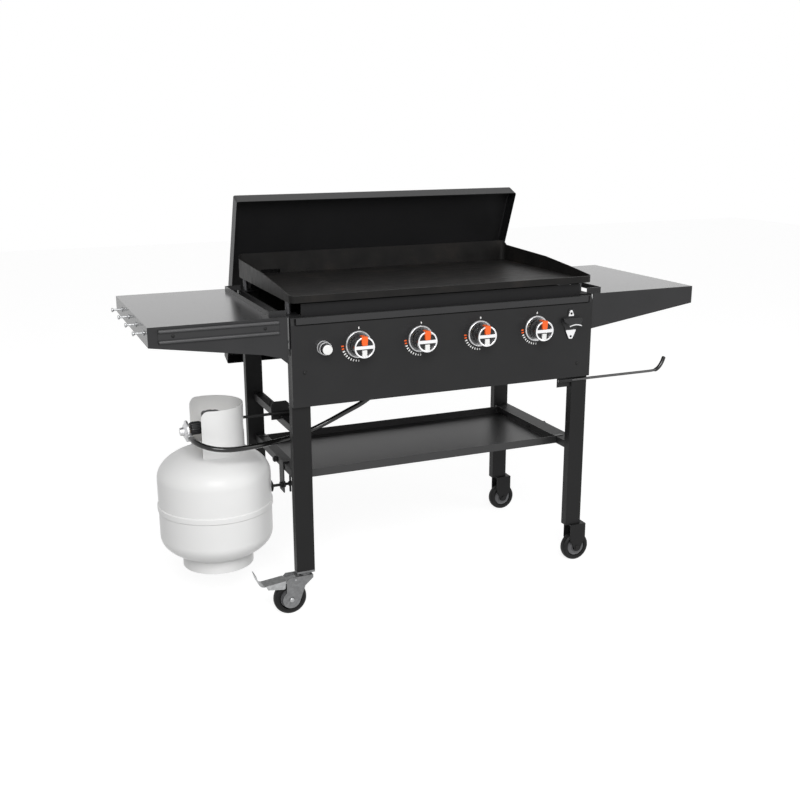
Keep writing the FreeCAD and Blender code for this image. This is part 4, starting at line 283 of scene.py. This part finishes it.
def seasoned_steel(name):
    """Oiled, seasoned cooking steel with blotches and scraper marks."""
    made, tree, shader = new_material(name)
    plain = texture_space(tree)
    streaked = texture_space(tree, (3, 60, 3))
    blotch = noise(tree, plain, 14, 6, 0.62)
    scrape = noise(tree, streaked, 6, 3)
    fine = noise(tree, plain, 700, 2)
    stops = [
        (0.25, (0.005, 0.005, 0.005)),
        (0.55, (0.010, 0.0094, 0.009)),
        (0.8, (0.019, 0.016, 0.014)),
    ]
    tree.links.new(ramp(tree, blotch, stops), shader.inputs["Base Color"])
    tree.links.new(mapped(tree, scrape, NOISE_RANGE, (0.36, 0.58)), shader.inputs["Roughness"])
    shader.inputs["Specular IOR Level"].default_value = 0.15
    bump(tree, shader, [(scrape, 0.12, 0.0004), (fine, 0.25, 0.0002)])
    return made


def spangled_zinc(name, colour, rough):
    """Plated or galvanised steel with faint crystal spangles."""
    made, tree, shader = new_material(name)
    plain = texture_space(tree)
    cells = tree.nodes.new("ShaderNodeTexVoronoi")
    cells.inputs["Scale"].default_value = 160
    tree.links.new(plain, cells.inputs["Vector"])
    stops = [(0.0, tint(colour, 0.82)), (1.0, tint(colour, 1.1))]
    tree.links.new(ramp(tree, cells.outputs["Color"], stops), shader.inputs["Base Color"])
    fine = noise(tree, plain, 500, 3)
    tree.links.new(mapped(tree, fine, NOISE_RANGE, rough), shader.inputs["Roughness"])
    shader.inputs["Metallic"].default_value = METAL
    bump(tree, shader, [(fine, 0.2, 0.0002)])
    return made


# Paints
frame_paint = surface("frame_paint", (0.0115, 0.0115, 0.012), (0.40, 0.52), shine=0.26, edge=0.0005)
leg_paint = surface("leg_paint", (0.0068, 0.0068, 0.007), (0.42, 0.55), shine=0.22, edge=0.0008)
low_shelf_paint = surface(
    "low_shelf_paint", (0.016, 0.016, 0.0165), (0.32, 0.42), shine=0.55, edge=0.0012)
strip_paint = surface("strip_paint", (0.021, 0.021, 0.022), (0.36, 0.46), shine=0.35, edge=0.0006)
# Painted highlight: the ribs are the strip's own paint, drawn lighter where light falls on their round tops
painted_rib_highlight = surface("painted_rib_highlight", (0.045, 0.045, 0.047), (0.3, 0.4))
shelf_paint = surface(
    "shelf_paint", (0.020, 0.020, 0.021), (0.24, 0.34), depth=0.00012, coat=0.85, coat_ior=1.3,
    shine=0.14, edge=0.001, duller_sides=0.35)
bar_paint = surface("bar_paint", (0.014, 0.014, 0.0145), (0.16, 0.24), depth=0.0001, coat=0.6)
cover_paint = surface(
    "cover_paint", (0.008, 0.008, 0.0085), (0.34, 0.48), grain=700, patch=5, shine=0.3, edge=0.002)
guard_paint = surface("guard_paint", (0.006, 0.006, 0.0065), (0.5, 0.65), shine=0.2)
# Painted shade: a near-black finish for the front panel's seam and end slots, where shadow falls in the gaps
painted_gap_shade = surface("painted_gap_shade", (0.003, 0.003, 0.003), (0.7, 0.8), depth=0.0001, shine=0.1)
white_paint = surface(
    "white_paint", (0.80, 0.80, 0.795), (0.3, 0.4), grain=260, vary=0.02, patch=6, coat=0.25,
    coat_ior=1.3, shine=0.12)

# Metals
cooking_steel = seasoned_steel("cooking_steel")
zinc = spangled_zinc("zinc", (0.205, 0.207, 0.21), (0.42, 0.56))
dark_zinc = spangled_zinc("dark_zinc", (0.10, 0.10, 0.105), (0.45, 0.6))
bright_zinc = spangled_zinc("bright_zinc", (0.40, 0.405, 0.41), (0.3, 0.45))
chrome = surface(
    "bright_chrome", (0.86, 0.86, 0.87), (0.12, 0.22), METAL, grain=400, depth=0.00005, vary=0.03)
satin_silver = surface(
    "satin_silver", (0.72, 0.72, 0.73), (0.3, 0.42), METAL, grain=500, depth=0.00005, vary=0.05)
stainless = surface(
    "stainless", (0.45, 0.44, 0.43), (0.3, 0.45), METAL, grain=300, depth=0.0001, vary=0.1,
    stretch=(1, 30, 30))
brass = surface("brass", (0.62, 0.46, 0.18), (0.25, 0.4), METAL, grain=500, depth=0.0001)
cast = surface(
    "cast_aluminium", (0.6, 0.6, 0.61), (0.38, 0.55), METAL, grain=350, depth=0.0004, vary=0.1,
    edge=0.001)
fastener_black = surface("fastener_black", (0.008, 0.008, 0.008), (0.5, 0.62), depth=0.0001, shine=0.25)

# Plastics, rubbers and ceramic
# Black plastic for the knob skirts, hand nut, handwheel, thumbscrews and igniter; on the bottle opener's
# stainless body it is a painted dark reflection
plastic_and_dark_reflection = surface(
    "black_plastic", (0.010, 0.010, 0.011), (0.34, 0.48), grain=1200, depth=0.0001, shine=0.4)
hub_plastic = surface("hub_plastic", (0.11, 0.11, 0.115), (0.4, 0.55), grain=700)
hose_rubber = surface(
    "hose_rubber", (0.005, 0.005, 0.005), (0.14, 0.22), grain=600, depth=0.0001, coat=0.4, shine=0.3)
wheel_rubber = surface(
    "wheel_rubber", (0.006, 0.006, 0.0062), (0.45, 0.6), grain=500, depth=0.0003, shine=0.22)
signal_orange = surface(
    "signal_orange", (0.86, 0.12, 0.012), (0.3, 0.42), grain=500, depth=0.0001, vary=0.06)
signal_white = surface(
    "signal_white", (0.80, 0.80, 0.79), (0.3, 0.42), grain=500, depth=0.0001, vary=0.03)
ceramic = surface("ceramic", (0.75, 0.74, 0.7), (0.2, 0.3), grain=300, depth=0.0001, vary=0.05)

# The finish of every node that is shown
FINISH = {
    frame_paint: "front_panel towel_bar_bracket tank_stop_bracket cover_hangers left_rails right_rail",
    leg_paint: "left_legs right_legs wheel_brackets tank_hook",
    strip_paint: "tool_strip",
    shelf_paint: "left_shelf right_shelf",
    low_shelf_paint: "bottom_shelf",
    cover_paint: "hard_cover cover_handle cover_keepers",
    guard_paint: "wind_guard firebox",
    white_paint: "gas_cylinder cylinder_collar",
    cooking_steel: "griddle_plate",
    zinc: "caster_mounts caster_fork_front caster_fork_rear",
    dark_zinc: "griddle_feet",
    bright_zinc: "tool_hooks brake_lever_front brake_lever_rear",
    stainless: "burners gas_manifold grease_cup",
    brass: "valve_stem_1 valve_stem_2 valve_stem_3 valve_stem_4 cylinder_valve",
    cast: "valve_bodies regulator",
    fastener_black: "frame_bolts tank_stop_screw",
    # bottle_opener: its stainless is drawn in black plastic, a painted dark reflection; its bright faces are
    # chrome pieces
    plastic_and_dark_reflection: "igniter_module valve_handwheel shelf_thumbscrews igniter_button bottle_opener",
    wheel_rubber: "caster_wheel_front caster_wheel_rear right_wheel_front right_wheel_rear",
    ceramic: "igniter_electrodes",
}


def dress_nodes():
    for material, names in FINISH.items():
        for name in names.split():
            for place in nodes[name].material_slots:
                place.material = material


# Outlines and solids of revolution
def arc(centre, radius, start, stop, steps):
    """Points of (across, up) on an arc, in degrees."""
    turns = [math.radians(start + (stop - start) * step / steps) for step in range(steps + 1)]
    return [(centre[0] + radius * math.cos(turn), centre[1] + radius * math.sin(turn)) for turn in turns]


def rectangle(left, low, right, high):
    return [(left, low), (right, low), (right, high), (left, high)]


def facing_front(x, z, y0):
    """A space for prism: depths are measured forward of the plane y0."""
    return lambda a, b, depth: Vector((x + a, y0 - depth, z + b))


def prism(outline, low, high, to_space):
    """An outline of (across, up) in millimetres between two depths."""
    count = len(outline)
    points = [to_space(a, b, depth) * MM for depth in (low, high) for a, b in outline]
    faces = [tuple(range(count)), tuple(range(2 * count - 1, count - 1, -1))]
    faces += [(i, (i + 1) % count, count + (i + 1) % count, count + i) for i in range(count)]
    return points, faces


def lathe(profile, centre, axis, steps, flutes=0, cut=0.0, round_below=0.0):
    """A profile of (along, radius) in millimetres turned about an axis, fluted from a radius up if asked."""
    way = Vector(axis)
    side = Vector((0, 0, 1)) if abs(way.z) < 0.9 else Vector((1, 0, 0))
    across = way.cross(side).normalized()
    up = across.cross(way).normalized()
    points = []
    for along, radius in profile:
        for step in range(steps):
            angle = 2 * math.pi * step / steps
            spoke = across * math.cos(angle) + up * math.sin(angle)
            reach = radius
            if radius > round_below:
                reach -= cut * (1 - math.cos(flutes * angle)) / 2
            points.append((Vector(centre) + way * along + spoke * reach) * MM)
    faces = []
    for row in range(len(profile) - 1):
        here = row * steps
        above = here + steps
        for step in range(steps):
            after = (step + 1) % steps
            faces.append((here + step, here + after, above + after, above + step))
    if profile[0][1] > 0 and profile[0] != profile[-1]:
        faces.append(tuple(range(steps)))
        last = (len(profile) - 1) * steps
        faces.append(tuple(reversed(range(last, last + steps))))
    return points, faces


# Pieces
def mesh_of(name, points, faces):
    mesh = bpy.data.meshes.new(name)
    mesh.from_pydata([tuple(point) for point in points], [], faces)
    work = bmesh.new()
    work.from_mesh(mesh)
    bmesh.ops.recalc_face_normals(work, faces=work.faces)
    work.to_mesh(mesh)
    work.free()
    return mesh


def mesh_piece(name, lumps, material, body, bevel=0.0, smooth=30):
    """One piece from lumps of (points, faces), shaded smooth below an angle in degrees."""
    points = []
    faces = []
    for some_points, some_faces in lumps:
        start = len(points)
        points += some_points
        faces += [tuple(index + start for index in face) for face in some_faces]
    mesh = mesh_of(name, points, faces)
    made = bpy.data.objects.new(name, mesh)
    bpy.context.scene.collection.objects.link(made)
    mesh.materials.append(material)
    if bevel:
        rounding = made.modifiers.new("rounding", "BEVEL")
        rounding.width = bevel
        rounding.segments = 2
        rounding.limit_method = "ANGLE"
        rounding.angle_limit = math.radians(smooth)
    for face in mesh.polygons:
        face.use_smooth = True
    shading = made.modifiers.new("shading", "WEIGHTED_NORMAL")
    shading.keep_sharp = True
    mesh.set_sharp_from_angle(angle=math.radians(smooth))
    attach(made, body)
    return made


def tube(name, route, radius, material, along, around, ends=None):
    """A round line on the cart through (x, y, z) in millimetres; with ends, closed and narrowed to them."""
    curve = bpy.data.curves.new(name + "_curve", "CURVE")
    curve.dimensions = "3D"
    line = curve.splines.new("NURBS")
    line.points.add(len(route) - 1)
    for point, spot in zip(line.points, route):
        point.co = (*[value * MM for value in spot], 1)
    line.order_u = 3
    line.use_endpoint_u = True
    line.resolution_u = along
    curve.bevel_depth = radius * MM
    curve.bevel_resolution = around
    if ends:
        line.points[0].radius, line.points[-1].radius = ends
        curve.use_fill_caps = True
    curve.materials.append(material)
    made = bpy.data.objects.new(name, curve)
    bpy.context.scene.collection.objects.link(made)
    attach(made, "cart")
    return made


def control_knobs():
    """Each knob whole: dark skirt, bright ring and cross bar, orange pointer and white tail."""
    skirt = [
        (-40.5, 0), (-40.5, 23.5), (-39, 25), (-28, 26), (-12, 27.2), (-9.5, 27.8), (-8, 27.8),
        (-7.6, 24.2), (-6, 23.8), (-6, 0),
    ]
    ring = [
        (-8.6, 27.4), (-8.6, 28.2), (-7.6, 28.5), (-1.6, 28.5), (-0.5, 28), (0, 27), (0, 25),
        (-0.6, 24.1), (-2, 23.6), (-7.4, 23.4), (-8.6, 27.4),
    ]
    bar = rectangle(-24, -4.5, 24, 4.5)
    pointer = [(-7.4, 6.4), (-6, 5.2), (6, 5.2), (7.4, 6.4), (8.4, 20)]
    pointer += arc((0, 0), 29.4, 73, 107, 8) + [(-8.4, 20)]
    over_rim = [(6, 24)] + arc((0, 0), 29.4, 78, 102, 5) + [(-6, 24)]
    tail = [(-6.6, -7.6), (-6.6, -22.6), (-5.6, -24), (5.6, -24), (6.6, -22.6), (6.6, -7.6)]
    recess = -6.4
    bar_face, pointer_face, rim_face, tail_face = -0.8, 1.2, 1.0, -0.9
    rim_back = -22
    for number, x in enumerate(KNOB_X, 1):
        body = "knob_%d" % number
        centre = (x, KNOB_FRONT, KNOB_Z)
        front = facing_front(x, KNOB_Z, KNOB_FRONT)
        bright = [lathe(ring, centre, FORWARD, 96), prism(bar, recess, bar_face, front)]
        orange = [prism(pointer, recess, pointer_face, front), prism(over_rim, rim_back, rim_face, front)]
        parts = (
            ("skirt", [lathe(skirt, centre, FORWARD, 64)], plastic_and_dark_reflection, 0.0),
            ("ring", bright, chrome, 0.0005),
            ("pointer", orange, signal_orange, 0.0011),
            ("tail", [prism(tail, recess, tail_face, front)], signal_white, 0.0009),
        )
        pieces = [
            mesh_piece("knob_%s_%d" % (part, number), lumps, material, body, bevel)
            for part, lumps, material, bevel in parts
        ]
        for made in pieces:
            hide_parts(body)


def dial_marks():
    """Printed ticks from nine to six o'clock, the first two orange, and a mark above each knob."""
    ticks, orange_ticks = 10, 2
    first_angle, angle_step = 182, 9.8
    inner_radius = 41.2
    outer_radius, outer_loss = 48, 0.2
    half_width, width_loss = 1.9, 0.07
    white = []
    orange = []
    for x in KNOB_X:
        front = facing_front(x, KNOB_Z, PANEL_Y)
        for step in range(ticks):
            angle = math.radians(first_angle + step * angle_step)
            out = Vector((math.cos(angle), math.sin(angle)))
            side = Vector((-out.y, out.x))
            inner = out * inner_radius
            outer = out * (outer_radius - step * outer_loss)
            wide = side * (half_width - step * width_loss)
            corners = [inner - wide, outer - wide, outer + wide, inner + wide]
            lump = prism([tuple(corner) for corner in corners], *PRINT_DEPTH, front)
            (orange if step < orange_ticks else white).append(lump)
        mark = arc((1.5, 43.4), 2.3, 200, 340, 8) + [(1.9, 47.6), (1.1, 47.6)]
        white.append(prism(mark, *PRINT_DEPTH, front))
    mesh_piece("dial_ticks", white, signal_white, "cart")
    mesh_piece("dial_low_ticks", orange, signal_orange, "cart")


def bezels():
    """Broad satin rings behind the knobs and the open collar round the push button."""
    ring = [
        (0, 23.5), (0, 36.4), (1, 37), (2.4, 36.8), (4.8, 35.4), (5.6, 34.2), (5.5, 33.2), (3.6, 28),
        (2.6, 25.5), (2.2, 23.5), (0, 23.5),
    ]
    collar = [
        (0, 14.2), (0, 18), (2.6, 18), (3.4, 17.2), (19, 17.2), (20, 16.4), (20, 15.4), (19, 14.8),
        (4, 14.2), (0, 14.2),
    ]
    lumps = [lathe(ring, (x, PANEL_Y, KNOB_Z), FORWARD, 96) for x in KNOB_X]
    lumps.append(lathe(collar, (IGNITER_X, PANEL_Y, KNOB_Z), FORWARD, 64))
    made = mesh_piece("bezel_rings", lumps, satin_silver, "cart")
    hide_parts("control_bezels")


def igniter_face():
    """A pale, slightly crowned face on the push button."""
    cap = [(-1.5, 0), (-1.5, 13.2), (-0.2, 13.2), (0.6, 12.8), (1.1, 11.6), (1.3, 8), (1.4, 0)]
    lumps = [lathe(cap, (IGNITER_X, IGNITER_FRONT, KNOB_Z), FORWARD, 48)]
    mesh_piece("igniter_cap", lumps, signal_white, "igniter")


def opener_plates():
    """Bright steel faces of the bottle opener: fixing tab, mouth edge and lower plate with its screws. The
    rest of its stainless body is drawn in black plastic, a painted dark reflection.
    """
    face = facing_front(OPENER_X, 0, PANEL_Y - OPENER_SHEET)
    tab = [(-8.6, 769.5), (8.6, 769.5), (8.8, 772), (3.6, 784)]
    tab += arc((0, 783), 3.8, 20, 160, 5) + [(-3.6, 784), (-8.8, 772)]
    plate = [
        (-4.6, 703.8), (4.6, 703.8), (6.6, 706), (16.4, 727), (15.6, 729.8), (-15.6, 729.8),
        (-16.4, 727), (-6.6, 706),
    ]
    lumps = [prism(tab, -0.2, 0.5, face), prism(plate, -0.2, 0.8, face)]
    edge = arc((2, 700), 49.5, 66, 114, 12) + arc((2, 700), 46.5, 114, 66, 12)
    lumps.append(prism(edge, -0.3, 0.3, facing_front(OPENER_X, 0, PANEL_Y - OPENER_MOUTH)))
    mesh_piece("opener_faces", lumps, chrome, "cart", 0.0003)
    dome = [(0, 3.6), (0.8, 3.4), (1.5, 2.4), (1.8, 1), (1.9, 0), (0, 0)]
    head_y = PANEL_Y - OPENER_SHEET - 0.4
    heads = [lathe(dome, (OPENER_X, head_y, z), FORWARD, 24) for z in OPENER_SCREW_Z]
    mesh_piece("opener_screws", heads, fastener_black, "cart")


def strip_details():
    """Half-round faces on the tool strip's two ribs, in a lighter copy of the strip's paint as a painted
    highlight on their round tops, and its two screws.
    """
    lumps = []
    for z in RIB_Z:
        outline = arc((RIB_Y, z), RIB_RADIUS, 260, 100, 10)
        outline += [(RIB_BACK_Y, z + RIB_BACK_HALF), (RIB_BACK_Y, z - RIB_BACK_HALF)]
        lumps.append(prism(outline, *RIB_ENDS, lambda y, z, x: Vector((x, y, z))))
    mesh_piece("strip_crests", lumps, painted_rib_highlight, "cart", 0.0, 40)
    dome = [(-3, 0), (-3, 2), (0, 2), (0, 4.4), (0.9, 4.2), (1.7, 3.2), (2.2, 1.5), (2.3, 0)]
    heads = [lathe(dome, (x, STRIP_SCREW_Y, STRIP_SCREW_Z), FORWARD, 24) for x in STRIP_SCREW_X]
    mesh_piece("strip_screws", heads, fastener_black, "cart")


def tank_band():
    """The rolled joint round the cylinder's middle, a flat band with softened edges."""
    band = [
        (-9.5, 155.0), (-8.6, 155.9), (-8.0, 157.3), (-6.9, 158.2), (-5, 158.5), (5, 158.5), (6.9, 158.2),
        (8.0, 157.3), (8.6, 155.9), (9.5, 155.0), (-9.5, 155.0),
    ]
    lumps = [lathe(band, TANK_JOINT, (0, 0, 1), 160)]
    mesh_piece("tank_band", lumps, white_paint, "cart")


def coupling_knob():
    """The fluted hand nut between the regulator and the cylinder's valve."""
    grip = [
        (0, 11), (0, 14.2), (2, 16.4), (5, 17.6), (9, 18), (24, 18), (28, 17.4), (31, 16), (33, 13.6),
        (33.6, 12.4), (36, 12.4), (36, 9), (0, 9), (0, 11),
    ]
    lumps = [lathe(grip, COUPLING, (-1, 0, 0), 144, flutes=18, cut=1.1, round_below=13.2)]
    made = mesh_piece("coupling_knob", lumps, plastic_and_dark_reflection, "cart")
    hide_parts("coupling_nut")
    return made


def towel_hook():
    """The towel bar's smooth upturn and the soft sleeve with a rounded end over it."""
    route = [(x, BAR_Y, z) for x, z in BAR_LINE]
    rod = tube("towel_bar_rod", route, BAR_RADIUS, bar_paint, 10, 7, (1.0, 1.0))
    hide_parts("towel_bar")
    route = [(x, BAR_Y, z) for x, z in SLEEVE_LINE]
    grip = tube("towel_bar_grip", route, SLEEVE_RADIUS, hose_rubber, 10, 7, (0.78, 0.5))
    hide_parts("towel_bar_tip")


def axle_rivets():
    """Bright domed rivet ends on both cheeks of each caster."""
    dome = [(-0.5, 0), (-0.5, 6.4), (0.2, 6.4), (1.2, 5.8), (2.1, 4.2), (2.6, 2.2), (2.7, 0)]
    for body, y in (("caster_front", FRONT_Y), ("caster_rear", REAR_Y)):
        lumps = [
            lathe(dome, (CASTER_X, y + side * FORK_HALF, CASTER_Z), (0, side, 0), 32)
            for side in (-1, 1)
        ]
        mesh_piece("rivets_" + body, lumps, bright_zinc, body)


def panel_band():
    """The panel's folded top band, drawn lighter than the panel as a painted highlight, with painted shade
    in the seam below it and the slots at its ends.
    """
    front = facing_front(0, 0, PANEL_Y)
    band = rectangle(-BAND_END, BAND_Z[0], BAND_END, BAND_Z[1])
    lumps = [prism(band, *BAND_DEPTH, front)]
    # Painted highlight: the band is the panel's own sheet, drawn in the lighter strip paint for the light
    # its upward lean catches
    mesh_piece("panel_band", lumps, strip_paint, "cart", 0.0006)
    # Painted shade: a near-black strip in the seam below the band and in the slots at its ends
    seam = rectangle(-BAND_END, SEAM_Z[0], BAND_END, SEAM_Z[1])
    lumps = [prism(seam, *SEAM_DEPTH, front)]
    for end in (-1, 1):
        slot = rectangle(end * SLOT_X[0], SLOT_Z[0], end * SLOT_X[1], SLOT_Z[1])
        lumps.append(prism(slot, *SEAM_DEPTH, front))
    mesh_piece("panel_seam", lumps, painted_gap_shade, "cart")


def wheel_hubs():
    """Grey dished hub plates in both faces of each wheel."""
    plate = [
        (5.3, 12.9), (13.4, 12.9), (13.9, 13.4), (13.6, 14.4), (9.6, 16), (8.2, 18.5), (7.9, 23.5),
        (8.8, 25.8), (9.4, 26.6), (9.4, 27.4), (5.3, 27.4), (5.3, 12.9),
    ]
    for body, (x, y, z, growth) in WHEELS.items():
        profile = [(along, HUB_HOLE + (radius - HUB_HOLE) * growth) for along, radius in plate]
        lumps = [lathe(profile, (x, y, z), (0, side, 0), 64) for side in (-1, 1)]
        mesh_piece("hub_" + body, lumps, hub_plastic, body)


def hose_ferrules():
    """Ribbed crimps where the hose enters its two fittings."""
    sleeve = [(0, 6.2), (0, 8.6), (1, 9.2), (3.4, 9.2)]
    first_groove, groove_pitch = 4, 3.6
    for groove in range(3):
        low = first_groove + groove * groove_pitch
        sleeve += [(low, 8.5), (low + 0.8, 8.5), (low + 1.2, 9.2), (low + 2.8, 9.2)]
    sleeve += [(15.4, 8.8), (16, 8), (16, 6.2), (0, 6.2)]
    return [
        mesh_piece("ferrule_" + name, [lathe(sleeve, spot, way, 40)], bright_zinc, "cart")
        for name, spot, way in (("outlet", HOSE_START, FORWARD), ("inlet", HOSE_END, (0, 0, -1)))
    ]


def hose():
    """The gas hose with its fittings."""
    fittings = hose_ferrules() + [coupling_knob(), nodes["regulator"]]
    route = [HOSE_START] + HOSE_ROUTE + [HOSE_END]
    made = tube("hose_line", route, HOSE_RADIUS, hose_rubber, 12, 8)
    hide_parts("gas_hose")


# Floor, light and background
def seen_directly(tree):
    """One where the surface is looked at or mirrored, zero where it only lights the object."""
    path = tree.nodes.new("ShaderNodeLightPath")
    return worked_out(tree, "MAXIMUM", path.outputs["Is Camera Ray"], path.outputs["Is Glossy Ray"])


def white_floor():
    points = [(x, y, 0) for x, y in rectangle(-FLOOR_HALF, -FLOOR_HALF, FLOOR_HALF, FLOOR_HALF)]
    mesh = mesh_of("floor", points, [(0, 1, 2, 3)])
    floor = bpy.data.objects.new("floor", mesh)
    bpy.context.scene.collection.objects.link(floor)
    made, tree, shader = new_material("floor_white")
    shader.inputs["Base Color"].default_value = (FLOOR_GREY, FLOOR_GREY, FLOOR_GREY, 1)
    shader.inputs["Roughness"].default_value = 0.9
    shader.inputs["Specular IOR Level"].default_value = 0.1
    shader.inputs["Emission Color"].default_value = WHITE
    glow = mapped(tree, seen_directly(tree), (0.0, 1.0), FLOOR_GLOW)
    tree.links.new(glow, shader.inputs["Emission Strength"])
    mesh.materials.append(made)


def white_world():
    world = bpy.data.worlds.new("studio")
    bpy.context.scene.world = world
    world.use_nodes = True
    tree = world.node_tree
    backgrounds = [tree.nodes["Background"], tree.nodes.new("ShaderNodeBackground")]
    mixer = tree.nodes.new("ShaderNodeMixShader")
    tree.links.new(seen_directly(tree), mixer.inputs["Fac"])
    for background, strength, socket in zip(backgrounds, WORLD_GLOW, (1, 2)):
        background.inputs["Color"].default_value = WHITE
        background.inputs["Strength"].default_value = strength
        tree.links.new(background.outputs[0], mixer.inputs[socket])
    tree.links.new(mixer.outputs[0], tree.nodes["World Output"].inputs["Surface"])


def lamps():
    for name, spot, target, size, power in LAMPS:
        data = bpy.data.lights.new(name, "AREA")
        data.size = size
        data.energy = power
        lamp = bpy.data.objects.new(name, data)
        lamp.location = spot
        lamp.rotation_euler = (Vector(target) - Vector(spot)).to_track_quat("-Z", "Y").to_euler()
        bpy.context.scene.collection.objects.link(lamp)


camera()
hose()
dress_nodes()
control_knobs()
dial_marks()
bezels()
igniter_face()
opener_plates()
strip_details()
tank_band()
towel_hook()
axle_rivets()
panel_band()
wheel_hubs()
white_floor()
white_world()
lamps()
bpy.context.scene.view_settings.view_transform = "Standard"
